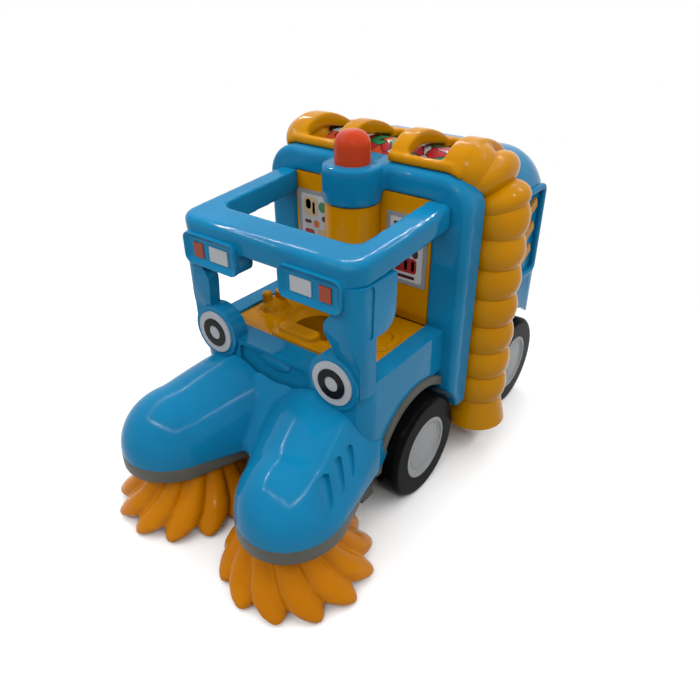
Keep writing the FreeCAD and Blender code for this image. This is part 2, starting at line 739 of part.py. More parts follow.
def pillars():
    """The two corner pillars, hollow towards the cab and rounded at the corners."""
    foot, top = "sill_underside", "roof_underside + past"
    back = "cab_face + pillar_side_depth + past"
    inner, inner_knee = "cab_face + pillar_thickness", "knee_face + pillar_thickness"
    outline = [(inner, foot), (back, foot), (back, top), (inner_knee, top),
               (inner_knee, "pillar_knee_height"), (inner, "pillar_lean_height")]
    hollow = padded("pillar_hollow", "YZ_Plane", outline, "2 * (cab_half_width - cab_wall)")
    block = box("pillar_envelope", ("0 - cab_half_width", "cab_half_width"), ("knee_face", back), (foot, top))
    block = eased("pillar_envelope_rounded", block, "pillar_corner",
                  lambda edge: along(edge, Z) and near(edge.CenterOfMass.y, "knee_face"))
    views = joined("pillar_views", pair(pillar_front()))
    return cut("pillar_pair", shared("pillar_sides", [views, pillar_side(), block]), [hollow])


def cab_body():
    """The front panel with its lamp bosses, the side walls and the pillars, as one hollow moulding."""
    outer = cab_envelope("cab_envelope", "seam_height")
    inside = box("cab_inside", ("cab_wall - cab_half_width", "cab_half_width - cab_wall"),
                 ("cab_face + cab_wall", "bulkhead_face"), ("seam_height - past", "sill_underside"))
    mouth = box("cab_mouth", ("sill_width - cab_half_width", "cab_half_width - sill_width"),
                ("cab_face + sill_depth", "bulkhead_face"), ("sill_underside - past", "sill_height"))
    above = box("cab_above", ("0 - reach", "reach"), ("cab_face - past", "bulkhead_face"),
                ("sill_height", "2 * reach"))
    under = box("cab_under", ("0 - reach", "reach"), ("front_axle - arch_gap", "bulkhead_face"),
                ("seam_height - past", "side_bottom"))
    walls = cut("cab_walls", outer, [inside, mouth, above, under])
    boss = rod("lamp_boss", "lamp_boss_radius", Y, "cab_face - lamp_boss_proud", "lamp_boss_depth",
               "lamp_place", "lamp_height")
    return joined("cab_whole", [walls, pillars()] + pair(boss))


def lamp_box():
    """The left lamp box under the front of the roof."""
    block = box("lamp_box", ("lamp_box_inner", "lamp_box_outer"), ("box_face", "box_face + lamp_box_depth"),
                ("lamp_box_bottom", "lamp_box_bottom + lamp_box_height"))
    return eased("lamp_box_rounded", block, "lamp_box_corner", lambda edge: along(edge, Y))


def roof_ring():
    """The open roof: a sloping ring of broad bars, cut off at the bulkhead."""
    slab = box("roof_slab", ("0 - roof_half_width", "roof_half_width"), ("0", "roof_length"),
               ("0", "roof_thickness"))
    slab = eased("roof_slab_corners", slab, "roof_corner",
                 lambda edge: along(edge, Z) and near(edge.CenterOfMass.y, "0"))
    slab = eased("roof_slab_edges", slab, "roof_edge",
                 lambda edge: near(edge.CenterOfMass.z, "roof_thickness")
                 and not near(edge.CenterOfMass.y, "roof_length"))
    mouth = box("roof_mouth", ("roof_bar - roof_half_width", "roof_half_width - roof_bar"),
                ("roof_front_bar", "roof_length + past"), ("0 - past", "roof_thickness + past"))
    ring = cut("roof_ring_flat", slab, [mouth])
    ring.Placement = Placement(Vector(), Rotation(X, number("roof_slope")))
    place(ring, "0", "roof_face", "roof_underside")
    behind = box("roof_behind", ("0 - reach", "reach"), ("bulkhead_face", "bulkhead_face + reach"),
                 ("0", "2 * reach"))
    return cut("roof_ring", ring, [behind])


def cab_and_roof():
    """The cab's moulding, and the roof with its lamp boxes, cut to each other."""
    whole = cab_body()
    roof = joined("roof_whole", [roof_ring()] + pair(lamp_box()))
    arches = pair(rod("cab_arch", "flange_radius + seat_gap", X, "floor_half_width - arch_lap", "reach",
                      "front_axle", "wheel_radius"))
    sub_part("roof_frame", roof)
    sub_part("cab_body", cut("cab_moulding", whole, arches + [roof]))


def lamp_plates(name, start, share):
    """A pair of flat plates on the lamp boxes, placed by shares of a box's width."""
    low = f"lamp_box_inner + lamp_box_width * {start}"
    plate = box(name, (low, f"{low} + lamp_box_width * {share}"), ("box_face - trim_thickness", "box_face"),
                ("plate_bottom", "plate_bottom + plate_height"))
    return grouped(name + "_pair", pair(plate))


def trim():
    """The plates of the lamp boxes, the round lamps of the front panel, and the pictures in the cab."""
    sub_part("headlamp_plates", lamp_plates("white_plate", "white_plate_start", "white_plate_share"))
    sub_part("indicator_plates", lamp_plates("orange_plate", "orange_plate_start", "orange_plate_share"))
    disc = rod("lamp_disc", "lamp_radius", Y, "lamp_face", "trim_thickness", "lamp_place", "lamp_height")
    sub_part("round_lamp_discs", grouped("lamp_disc_pair", pair(disc)))
    ring = rod("lamp_ring", "lamp_ring_radius", Y, "lamp_face - trim_thickness / 2", "trim_thickness / 2",
               "lamp_place", "lamp_height")
    hole = rod("lamp_ring_middle", "lamp_ring_hole", Y, "lamp_face - past", "2 * past", "lamp_place",
               "lamp_height")
    sub_part("round_lamp_rings", grouped("lamp_ring_pair", pair(cut("lamp_ring_open", ring, [hole]))))
    picture = box("picture", ("column_radius + picture_margin", "opening_half - picture_margin"),
                  ("wall_face - picture_thickness", "wall_face"),
                  ("picture_bottom", "picture_bottom + picture_height"))
    sub_part("wall_pictures", grouped("picture_pair", pair(picture)))


def half_column(name, radius, bottom, top):
    """A round column that stops at the wall behind the cab."""
    column = rod(name, radius, Z, bottom, f"{top} - {bottom}", "0", "column_y")
    keep = box(name + "_keep", ("0 - reach", "reach"), ("column_y - reach", "wall_face"), (bottom, top))
    return shared(name + "_half", [column, keep])


def bulkhead():
    """The tall frame behind the cab: two legs and a top bar with rounded shoulders, and the capped column."""
    slab = box("bulkhead_slab", ("0 - bulkhead_half_width", "bulkhead_half_width"),
               ("bulkhead_face", "bulkhead_back"), ("bulkhead_foot", "bulkhead_top"))
    slab = eased("bulkhead_shoulders", slab, "bulkhead_shoulder",
                 lambda edge: along(edge, Y) and near(edge.CenterOfMass.z, "bulkhead_top"))
    slab = eased("bulkhead_edges", slab, "bulkhead_edge",
                 lambda edge: near(edge.CenterOfMass.y, "bulkhead_face")
                 and not near(edge.CenterOfMass.z, "bulkhead_foot"))
    opening = box("bulkhead_opening", ("0 - opening_half", "opening_half"),
                  ("bulkhead_face - past", "bulkhead_back + past"), ("bulkhead_foot - past", "opening_top"))
    frame = cut("bulkhead_portal", slab, [opening])
    cap = half_column("column_cap", "column_radius", "cap_bottom", "bulkhead_top")
    room = rod("bulkhead_wheel_room", "wheel_radius + bulkhead_wheel_gap", X, "0 - reach", "2 * reach",
               "front_axle", "wheel_radius")
    whole = joined("bulkhead_parts", [frame, cap])
    return sub_part("bulkhead_frame", cut("bulkhead_moulding", whole, [room]))


def back_wall():
    """The wall behind the cab, and the lower part of the half-round column as a piece of its own."""
    wall = box("back_wall", ("0 - opening_half", "opening_half"), ("wall_face", "wall_face + wall_thickness"),
               ("interior_top", "opening_top"))
    sub_part("cab_back_wall", wall)
    sub_part("cab_column", half_column("lower_column", "column_radius - column_step", "interior_top",
                                       "cap_bottom"))


def dash_and_console():
    """The dashboard across the front of the deck, and the console at its right."""
    dash = box("dash", ("0 - dash_half_width", "dash_half_width"), ("deck_front", "deck_front + dash_depth"),
               ("interior_top", "dash_top"))
    console = box("console", ("console_x - console_half_width", "console_x + console_half_width"),
                  ("console_y - console_half_length", "console_y + console_half_length"),
                  ("interior_top", "console_top"))
    return [eased("dash_rounded", dash, "dash_rounding", lambda edge: near(edge.CenterOfMass.z, "dash_top")),
            eased("console_rounded", console, "dash_rounding",
                  lambda edge: near(edge.CenterOfMass.z, "console_top"))]


def console_knobs():
    """Two knobs side by side on the console."""
    knobs = []
    for k, side in enumerate((left, right)):
        knob = rod(f"knob_{k}", "knob_radius", Z, "console_top", "knob_height",
                   f"console_x + {side} * knob_spacing / 2", "console_y")
        knobs.append(eased(f"knob_{k}_rounded", knob, "knob_radius * dome_share",
                           lambda edge: near(edge.CenterOfMass.z, "console_top + knob_height")))
    sub_part("console_knobs", grouped("knob_pair", knobs))


def cab_interior():
    """The inside of the cab: a deck with a round well for a figure, a dashboard and a side console."""
    deck = box("interior_deck", ("0 - deck_half", "deck_half"), ("deck_front", "bulkhead_face"),
               ("deck_bottom", "interior_top"))
    tube = rod("well_tube", "well_radius + well_wall", Z, "seam_height", "deck_bottom - seam_height + past",
               "0", "well_y")
    well = rod("well", "well_radius", Z, "well_bottom", "reach", "0", "well_y")
    column_room = rod("column_room", "column_radius - column_step", Z, "interior_top", "reach", "0",
                      "column_y")
    body = joined("interior_parts", [deck, tube] + dash_and_console())
    sub_part("cab_interior", cut("interior_moulding", body, [well, column_room]))
    console_knobs()


def beacon():
    """The domed warning light on the column's cap."""
    dome = rod("beacon_dome", "beacon_radius", Z, "bulkhead_top", "beacon_height", "0", "column_y")
    sub_part("beacon", eased("beacon_rounded", dome, "beacon_radius * dome_share",
                             lambda edge: near(edge.CenterOfMass.z, "bulkhead_top + beacon_height")))


def hopper_block(name, inset, foot, tail_cut):
    """The hopper's outer form, or the hollow in it: a sloping top that rounds down to the rear."""
    front, rear = f"(bulkhead_back + {inset})", f"(hopper_end - {inset})"
    half, rear_top = f"(hopper_half_width - {inset})", f"(hopper_rear_top - {inset})"
    tail = f"{rear} - {tail_cut}"
    outline = [(front, foot), (tail, foot), (rear, f"hopper_tail_height + {inset}"), (rear, rear_top),
               ("arch_end", f"hopper_crest - {inset}"), (front, f"hopper_front_top - {inset}")]
    form = padded(name, "YZ_Plane", outline, f"2 * {half}")
    softened(form, f"hopper_dome - {inset}",
             lambda edge: along(edge, X) and near(edge.CenterOfMass.z, rear_top))
    softened(form, f"hopper_edge - {inset}",
             lambda edge: near(abs(edge.CenterOfMass.x), half)
             and edge.CenterOfMass.z > number("hopper_tail_height")
             and not near(edge.CenterOfMass.y, front))
    return form


def rear_lamps():
    """The two red lamps set into the hopper's rear."""
    lamps = pair(rod("rear_lamp", "rear_lamp_radius", Y, "hopper_end - trim_thickness", "trim_thickness",
                     "rear_lamp_place", "rear_lamp_height"))
    sub_part("rear_lamps", grouped("rear_lamp_pair", lamps))
    return lamps


def hopper_rooms():
    """What is cut from the hopper: its hollow, the drum's slot and bore, the skirts and the wheels' room."""
    hollow = hopper_block("hopper_hollow", "hopper_wall", "hopper_floor", "hopper_wall")
    slot = box("drum_slot", ("0 - slot_half", "slot_half"), ("bulkhead_back - past", "slot_end"),
               ("drum_z - drum_radius - drum_gap", "2 * reach"))
    bore = rod("drum_bore", "drum_axle_radius + running_gap", X, "0 - reach", "2 * reach", "drum_y", "drum_z")
    under = box("hopper_under", ("hopper_wall - hopper_half_width", "hopper_half_width - hopper_wall"),
                ("bulkhead_back - past", "hopper_end + past"),
                ("hopper_skirt - past", "hopper_floor - hopper_wall"))
    wheels_room = pair(rod("skirt_arch", "wheel_radius + rear_wheel_gap", X, "0", "reach", "rear_axle",
                           "wheel_radius"))
    panel = box("side_panel", ("hopper_half_width - panel_depth", "reach"),
                ("panel_front", "panel_front + panel_length"),
                ("panel_bottom", "panel_bottom + panel_height"))
    return [hollow, slot, bore, under] + wheels_room + pair(panel)


def hopper():
    """The hopper: a hollow body with a flat seat for the arches, wheel skirts and a slot for the drum."""
    outer = hopper_block("hopper_form", "0", "hopper_skirt", "hopper_tail_cut")
    seat = box("arch_seat", ("0 - reach", "reach"), ("bulkhead_back - past", "arch_end"),
               ("hopper_front_top", "2 * reach"))
    form = cut("hopper_solid", outer, [seat])
    sub_part("hopper", cut("hopper_moulding", form, hopper_rooms() + rear_lamps()))
    return form


def emblems():
    """Three slanted raised bars in each side panel."""
    bars = []
    for k in range(3):
        bar = box(f"panel_bar_{k}", ("0", "panel_depth"), ("0", "bar_length"), ("0", "bar_width"))
        bar.Placement = Placement(Vector(), Rotation(X, number("bar_slant")))
        place(bar, "hopper_half_width - panel_depth", "panel_front + bar_inset",
              f"panel_bottom + panel_height * (1 / 2 + {k - 1} * bar_share) - bar_width")
        bars += pair(bar)
    sub_part("side_emblems", grouped("panel_bars", bars))


def litter_drum():
    """The drum that turns under the windows, with its axle."""
    half, end = "(slot_half - drum_end_gap)", "(hopper_half_width - drum_axle_cover)"
    drum = rod("drum", "drum_radius", X, f"0 - {half}", f"2 * {half}", "drum_y", "drum_z")
    shaft = rod("drum_shaft", "drum_axle_radius", X, f"0 - {end}", f"2 * {end}", "drum_y", "drum_z")
    sub_part("litter_drum", joined("drum_and_shaft", [drum, shaft]))


def hose_tube():
    """The left hose below the shoulder: round lobes stacked at an even pitch over a flared nozzle."""
    foot, radius, wide = number("nozzle_foot"), number("hose_radius"), number("nozzle_radius")
    low = Vector(number("hose_neck_radius"), 0, number("hose_low"))
    profile = [Part.makeLine(Vector(0, 0, foot), Vector(wide, 0, foot)),
               Part.makeLine(Vector(wide, 0, foot), low)]
    lobes = int(number("hose_lobes"))
    pitch = number("hose_top - hose_low") / lobes
    for _ in range(lobes):
        high = low + Z * pitch
        profile.append(Part.Arc(low, Vector(radius, 0, (low.z + high.z) / 2), high).toShape())
        low = high
    axis = Vector(0, 0, low.z)
    profile += [Part.makeLine(low, axis), Part.makeLine(axis, Vector(0, 0, foot))]
    solid = Part.Face(Part.Wire(profile)).revolve(Vector(), Z, 360)
    return place(coded("hose_tube", solid), "hose_place", "hose_y")


def shoulder_lobe(name, centre, depth, length, lean):
    """A flattened round lobe where the hose bends inwards over the shoulder."""
    lobe = doc.addObject("Part::Ellipsoid", name)
    bind(lobe, Radius1="hose_pitch * shoulder_fullness", Radius2=depth, Radius3=length)
    lobe.Angle1, lobe.Angle2, lobe.Angle3 = -90, 90, 360
    lobe.Placement = Placement(Vector(), Rotation(Y, -number(lean)))
    return place(lobe, *centre)


def hoses(floor, hopper_form, bulkhead_solid, arch_solid):
    """The ribbed hose down each side, cut to what it meets and clear of the drum and the wheels."""
    low = shoulder_lobe("shoulder_low", ("hose_place - shoulder_low_in", "hose_y", "hose_top"),
                        "hose_radius", "hose_radius + shoulder_low_in", "shoulder_low_lean")
    high = shoulder_lobe("shoulder_high", ("hose_place - shoulder_high_in", "hose_y - shoulder_high_ahead",
                                           "hose_top + shoulder_high_rise"),
                         "hose_radius - shoulder_high_trim", "hose_radius + shoulder_high_longer",
                         "shoulder_high_lean")
    body = joined("hose_body", [hose_tube(), low, high])
    drum_room = rod("drum_room", "drum_radius + drum_gap", X, "0 - slot_half", "2 * slot_half", "drum_y",
                    "drum_z")
    wheel_room = [rod(f"{end}_nozzle_room", "wheel_radius + nozzle_gap", X, "0 - reach", "2 * reach",
                      f"{end}_axle", "wheel_radius") for end in ("front", "rear")]
    met = [floor, hopper_form, bulkhead_solid, arch_solid, drum_room]
    trimmed = cut("hose_trimmed", body, met + wheel_room)
    for side, thing in zip(("left", "right"), pair(trimmed)):
        sub_part(f"hose_{side}", thing)


def rib_face(inset):
    """The side view of a rib, or of the opening under it."""
    start, end, past = number("arch_front") + inset, number("arch_end") - inset, number("past")
    low, back_low = number("bulkhead_top"), number("hopper_front_top")
    top, crown = number("bulkhead_top + rib_rise") - inset, number("arch_front + rib_crown")
    base = back_low - past - inset
    foot, toe = Vector(0, start, base), Vector(0, end, base)
    rise = [Vector(0, start, low + past), Vector(0, crown, top),
            Vector(0, crown + number("rib_crown"), top - number("rib_fall")),
            Vector(0, end - number("rib_tail_run"), back_low + number("rib_tail_rise"))]
    curve = Part.BSplineCurve()
    curve.interpolate(rise)
    outline = [Part.makeLine(foot, rise[0]), curve.toShape(), Part.makeLine(rise[-1], toe),
               Part.makeLine(toe, foot)]
    return Part.Face(Part.Wire(outline))


def rib_form(name, spacings, thickness):
    """One rib over the drum: a low arch from front to back, open underneath."""
    width = X * number(thickness)
    solid = rib_face(0).extrude(width).cut(rib_face(number("rib_depth")).extrude(width))
    return place(coded(name, solid), f"{spacings} * rib_spacing - {thickness} / 2")


def arches(hopper_form, bulkhead_solid):
    """The top over the drum: two pairs of ribs, each over a front sill bar, on one rear sill bar."""
    front_bar = box("front_bar", ("(rib_spacing - rib_thickness) / 2", "arch_half"),
                    ("arch_front", "arch_front + sill_bar"),
                    ("bulkhead_top", "bulkhead_top + sill_bar_height"))
    rear_bar = box("rear_bar", ("0 - arch_half", "arch_half"), ("arch_end - sill_bar", "arch_end"),
                   ("hopper_front_top", "hopper_front_top + sill_bar_height"))
    ribs = pair(rib_form("inner_rib", "0.5", "rib_thickness"))
    ribs += pair(rib_form("outer_rib", "1.5", "outer_rib_thickness"))
    whole = joined("arch_parts", pair(front_bar) + [rear_bar] + ribs)
    return sub_part("hopper_arches", cut("arches_trimmed", whole, [bulkhead_solid, hopper_form]))


def main():
    """Builds every sub-part, checks them and writes them."""
    wheels("front", "front_axle")
    wheels("rear", "rear_axle")
    brushes()
    floor = chassis()
    hood()
    cab_and_roof()
    trim()
    bulkhead_solid = bulkhead()
    back_wall()
    cab_interior()
    beacon()
    hopper_form = hopper()
    emblems()
    litter_drum()
    arch_solid = arches(hopper_form, bulkhead_solid)
    hoses(floor, hopper_form, bulkhead_solid, arch_solid)
    doc.recompute()
    check()
    write()


def check():
    """Stops if any object failed, or any sub-part has no valid solid."""
    for thing in doc.Objects:
        bad = [state for state in thing.State if state in ("Invalid", "Error")]
        if bad:
            raise RuntimeError(f"{thing.Name}: {bad}")
    for thing in finished:
        shape = thing.Shape
        if shape.isNull() or not shape.isValid() or not shape.Solids:
            raise RuntimeError(f"{thing.Label} has no valid solid")


def write():
    """Writes one STEP file for each sub-part."""
    os.makedirs("parts", exist_ok=True)
    for thing in finished:
        thing.Shape.exportStep(f"parts/{thing.Label}.step")
        print(thing.Label, len(thing.Shape.Solids), "solids", round(thing.Shape.Volume), "mm3")


main()
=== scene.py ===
# %% [markdown]
# # A toy street sweeper truck
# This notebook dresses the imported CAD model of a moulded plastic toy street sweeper. The CAD gives every
# moulding at its true size, and Blender gives the looks: softened mould edges, small fittings, printed
# pictures, glossy plastic, a camera and soft studio light. Each step first says what the real piece is, and
# why it is made this way.

# %% Load the model
import math
import bpy
from mathutils import Matrix, Vector


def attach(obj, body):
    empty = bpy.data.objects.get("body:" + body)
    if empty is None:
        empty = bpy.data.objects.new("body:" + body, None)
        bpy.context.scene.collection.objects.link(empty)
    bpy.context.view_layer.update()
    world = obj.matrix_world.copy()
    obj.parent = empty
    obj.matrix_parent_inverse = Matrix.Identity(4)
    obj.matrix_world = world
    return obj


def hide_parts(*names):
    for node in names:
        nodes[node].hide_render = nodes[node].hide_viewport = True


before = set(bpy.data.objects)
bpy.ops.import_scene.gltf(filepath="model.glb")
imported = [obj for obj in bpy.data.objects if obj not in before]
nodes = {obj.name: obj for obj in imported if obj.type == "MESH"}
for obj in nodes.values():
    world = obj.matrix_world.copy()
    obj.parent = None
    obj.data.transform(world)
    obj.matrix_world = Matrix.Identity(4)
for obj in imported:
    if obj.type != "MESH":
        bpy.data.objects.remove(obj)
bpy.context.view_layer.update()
mm = 0.001

# %% [markdown]
# ## Working by operators
# An operator acts on everything that is selected, and the loaded model comes in selected. So two small
# helpers clear the selection and pick one object, and every step below starts with them.

# %% Helpers for picking
def clear_selection():
    """Leaves object mode with nothing selected."""
    if bpy.context.object is not None and bpy.context.object.mode != "OBJECT":
        bpy.ops.object.mode_set(mode="OBJECT")
    bpy.ops.object.select_all(action="DESELECT")


def pick(piece):
    """Makes one object the only one that operators act on."""
    clear_selection()
    piece.select_set(True)
    bpy.context.view_layer.objects.active = piece
    return piece


# %% Helper for closing a piece
def finish_piece(piece, name, body, slot, *materials, stands_for=()):
    """Applies what is left on a piece, names it, gives it its materials and lets it ride on its body."""
    pick(piece)
    for modifier in list(piece.modifiers):
        bpy.ops.object.modifier_apply(modifier=modifier.name)
    bpy.ops.object.transform_apply(location=True, rotation=True, scale=True)
    piece.name = piece.data.name = name
    if materials:
        piece.data.materials.clear()
        for material in materials:
            piece.data.materials.append(material)
    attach(piece, body)
    if stands_for:
        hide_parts(*stands_for)
    clear_selection()
    print(name, len(piece.data.polygons), "faces")
    return piece


# %% [markdown]
# ## The camera
# The photograph looks down on the truck's front left corner from about a quarter of a metre away. The
# numbers come from matching points of the CAD model, such as lamps, wheels and roof corners, to where they
# lie in the picture.

# %% Make the camera
camera = bpy.data.objects.new("camera", bpy.data.cameras.new("camera"))
bpy.context.scene.collection.objects.link(camera)
bpy.context.scene.camera = camera
turn, tilt, roll = math.radians(37.5), math.radians(31.99), math.radians(-0.18)
sensor_width, focal_px, picture_px = 36, 645.25, 700
gaze = Vector((-math.sin(turn) * math.cos(tilt), math.cos(turn) * math.cos(tilt), -math.sin(tilt)))
camera.location = Vector((129.50, -168.95, 174.14)) * mm
camera.rotation_mode = "QUATERNION"
camera.rotation_quaternion = gaze.to_track_quat("-Z", "Y") @ Matrix.Rotation(roll, 3, "Z").to_quaternion()
camera.data.sensor_width = sensor_width
camera.data.lens = sensor_width * focal_px / picture_px
camera.data.clip_start = 0.01
camera.data.clip_end = 10
print("lens", round(camera.data.lens, 2), "mm")

# %% [markdown]
# ## Colours and nodes
# Colours are written as the hex values that a painter would pick on screen. Blender's sockets want linear
# light, so one function turns them. A second small function adds a shader node with its settings and links.

# %% Colour and node helpers
def colour(hex_value):
    """An sRGB hex value as linear red, green, blue and alpha."""
    channels = [int(hex_value[i:i + 2], 16) / 255 for i in (1, 3, 5)]
    return (*[c / 12.92 if c <= 0.04045 else ((c + 0.055) / 1.055) ** 2.4 for c in channels], 1)


def add_node(tree, kind, inputs=(), **settings):
    """Adds a node, with its settings, and its inputs as values or as links."""
    node = tree.nodes.new("ShaderNode" + kind)
    for name, value in settings.items():
        setattr(node, name, value)
    for name, value in dict(inputs).items():
        if isinstance(value, bpy.types.NodeSocket):
            tree.links.new(value, node.inputs[name])
        else:
            node.inputs[name].default_value = value
    return node


def new_material(name):
    """An empty node material, with its tree, its principled shader and its object coordinates."""
    material = bpy.data.materials.new(name)
    material.use_nodes = True
    tree = material.node_tree
    tree.nodes.clear()
    shader = add_node(tree, "BsdfPrincipled")
    add_node(tree, "OutputMaterial", {"Surface": shader.outputs["BSDF"]})
    place = add_node(tree, "TexCoord").outputs["Object"]
    return material, tree, shader, place


# %% [markdown]
# ## Glossy moulded plastic
# Toys like this are injection moulded in ABS. Its surface copies a polished steel mould: very smooth, with
# a faint orange-peel waviness a few millimetres wide, and after some play a haze of fine hairlines. The
# pigment flows a little unevenly, so large areas drift by a shade. Noise at those real sizes drives colour,
# roughness and bump. The mirror shine is set low, since the white surround would otherwise wash out the
# deep colours of the toy.

# %% Glossy plastic
abs_ior = 1.53
pigment_drift, play_haze, hairline, orange_peel = 30 * mm, 9 * mm, 6 * mm, 3.5 * mm


def drifting_pigment(tree, shader, place, shades, noise):
    """Lets the colour drift between two shades as slow noise does."""
    drift = add_node(tree, "TexNoise", {"Vector": place, **noise})
    tone = add_node(tree, "MapRange", {"Value": drift.outputs["Fac"], "From Min": 0.35, "From Max": 0.65})
    paint = add_node(tree, "Mix", {"Factor": tone.outputs["Result"], "A": colour(shades[0]),
                                   "B": colour(shades[1])}, data_type="RGBA")
    tree.links.new(paint.outputs["Result"], shader.inputs["Base Color"])


def moulded_abs(name, shade, deep_shade, gloss=0.045, peel=0.006):
    """ABS from a polished mould: a drifting pigment, faint orange peel and play haze."""
    material, tree, shader, place = new_material(name)
    drifting_pigment(tree, shader, place, (shade, deep_shade),
                     {"Scale": 1 / pigment_drift, "Detail": 3, "Roughness": 0.5})
    haze = add_node(tree, "TexNoise", {"Vector": place, "Scale": 1 / play_haze, "Detail": 6,
                                       "Roughness": 0.65})
    rough = add_node(tree, "MapRange", {"Value": haze.outputs["Fac"], "From Min": 0.3, "From Max": 0.75,
                                        "To Min": gloss - 0.02, "To Max": gloss + 0.025})
    tree.links.new(rough.outputs["Result"], shader.inputs["Roughness"])
    stretch = add_node(tree, "Mapping", {"Vector": place, "Rotation": (0.4, 0.7, 0.9), "Scale": (1, 14, 1)})
    hairs = add_node(tree, "TexNoise", {"Vector": stretch.outputs["Vector"], "Scale": 1 / hairline,
                                        "Detail": 4})
    waves = add_node(tree, "TexNoise", {"Vector": place, "Scale": 1 / orange_peel, "Detail": 2})
    hair_bump = add_node(tree, "Bump", {"Height": hairs.outputs["Fac"], "Strength": 0.02,
                                        "Distance": 0.02 * mm})
    wave_bump = add_node(tree, "Bump", {"Height": waves.outputs["Fac"], "Strength": 1, "Distance": peel * mm,
                                        "Normal": hair_bump.outputs["Normal"]})
    tree.links.new(wave_bump.outputs["Normal"], shader.inputs["Normal"])
    shader.inputs["IOR"].default_value = abs_ior
    shader.inputs["Specular IOR Level"].default_value = 0.07
    return material


abs_blue = moulded_abs("abs_sky_blue_polished", "#0F749F", "#0D6A93")
abs_yellow = moulded_abs("abs_warm_yellow_polished", "#B67B00", "#AA7000")
pe_amber = moulded_abs("pe_amber_polished", "#BC7300", "#B06900", gloss=0.09)
abs_orange = moulded_abs("abs_red_orange_polished", "#B53B18", "#A83414")
abs_white = moulded_abs("abs_white_polished", "#A7AAAE", "#9EA1A5")
abs_black = moulded_abs("abs_black_polished", "#0E0E10", "#141416", gloss=0.18)

# %% [markdown]
# ## Satin plastic, wheels and steel
# The underbody is ABS from a lightly textured mould, so it looks satin. The hubs are the same kind in pale
# grey. The tyres are soft black PVC with hardly any shine, and the axles are plain drawn steel wire.

# %% Satin plastic, tyres and steel
spark_grain, satin_drift, draw_line = 0.35 * mm, 20 * mm, 20 * mm


def satin_abs(name, shade, deep_shade, gloss=0.42, shine=0.1):
    """ABS from a spark-eroded mould: a fine grain about a third of a millimetre wide."""
    material, tree, shader, place = new_material(name)
    drifting_pigment(tree, shader, place, (shade, deep_shade),
                     {"Scale": 1 / satin_drift, "Detail": 4, "Roughness": 0.6})
    grain = add_node(tree, "TexNoise", {"Vector": place, "Scale": 1 / spark_grain, "Detail": 2})
    rough = add_node(tree, "MapRange", {"Value": grain.outputs["Fac"], "From Min": 0.3, "From Max": 0.7,
                                        "To Min": gloss - 0.05, "To Max": gloss + 0.08})
    tree.links.new(rough.outputs["Result"], shader.inputs["Roughness"])
    bump = add_node(tree, "Bump", {"Height": grain.outputs["Fac"], "Strength": 0.25, "Distance": 0.03 * mm})
    tree.links.new(bump.outputs["Normal"], shader.inputs["Normal"])
    shader.inputs["IOR"].default_value = abs_ior
    shader.inputs["Specular IOR Level"].default_value = shine
    return material


abs_grey = satin_abs("abs_warm_grey_satin", "#575751", "#4F4F4A")
abs_hub = satin_abs("abs_pale_grey_satin", "#919496", "#898C8E", gloss=0.36)
pvc_tyre = satin_abs("pvc_black_soft", "#070708", "#0B0B0C", gloss=0.12, shine=0.015)


def drawn_steel():
    """Bright steel wire with fine lines along its length."""
    material, tree, shader, place = new_material("steel_drawn_wire")
    lines = add_node(tree, "Mapping", {"Vector": place, "Scale": (1, 40, 40)})
    draw = add_node(tree, "TexNoise", {"Vector": lines.outputs["Vector"], "Scale": 1 / draw_line,
                                       "Detail": 4})
    rough = add_node(tree, "MapRange", {"Value": draw.outputs["Fac"], "To Min": 0.25, "To Max": 0.45})
    tree.links.new(rough.outputs["Result"], shader.inputs["Roughness"])
    shader.inputs["Base Color"].default_value = colour("#B9B9BC")
    shader.inputs["Metallic"].default_value = 1
    return material


steel = drawn_steel()

# %% [markdown]
# ## Printed labels
# The pictures in the cab and the band on the litter drum are printed. Ink on a vinyl label lies flat under
# a clear film, so it has an even, slightly soft shine and its colours have hard edges. The drum's band is a
# patchwork of odd coloured shapes with thin dark outlines: Voronoi cells about six millimetres wide, each
# with its own ink.

# %% Printing inks
print_screen = 0.6 * mm


def printed_ink(name, shade):
    """Ink under a clear film: an even colour with the faint mottle of a coarse print screen."""
    material, tree, shader, place = new_material(name)
    screen = add_node(tree, "TexNoise", {"Vector": place, "Scale": 1 / print_screen, "Detail": 2})
    mottle = add_node(tree, "MapRange", {"Value": screen.outputs["Fac"], "To Min": 0.88, "To Max": 1.1})
    paint = add_node(tree, "HueSaturation", {"Value": mottle.outputs["Result"], "Color": colour(shade)})
    tree.links.new(paint.outputs["Color"], shader.inputs["Base Color"])
    shader.inputs["Roughness"].default_value = 0.22
    shader.inputs["Specular IOR Level"].default_value = 0.2
    return material


silver_label = printed_ink("vinyl_label_silver", "#7B7F83")
ink_white = printed_ink("vinyl_ink_white", "#ABADAF")
inks = {"red": printed_ink("vinyl_ink_red", "#8C2325"),
        "green": printed_ink("vinyl_ink_green", "#33774B"),
        "dark": printed_ink("vinyl_ink_plum", "#3A1C22"),
        "orange": printed_ink("vinyl_ink_orange", "#B25B2D"),
        "cream": printed_ink("vinyl_ink_cream", "#B59E78"),
        "rust": printed_ink("vinyl_ink_rust", "#8E3A22")}


# %% The drum's printed band
patch_size, patch_warp, warp_reach = 6.5 * mm, 9 * mm, 5 * mm


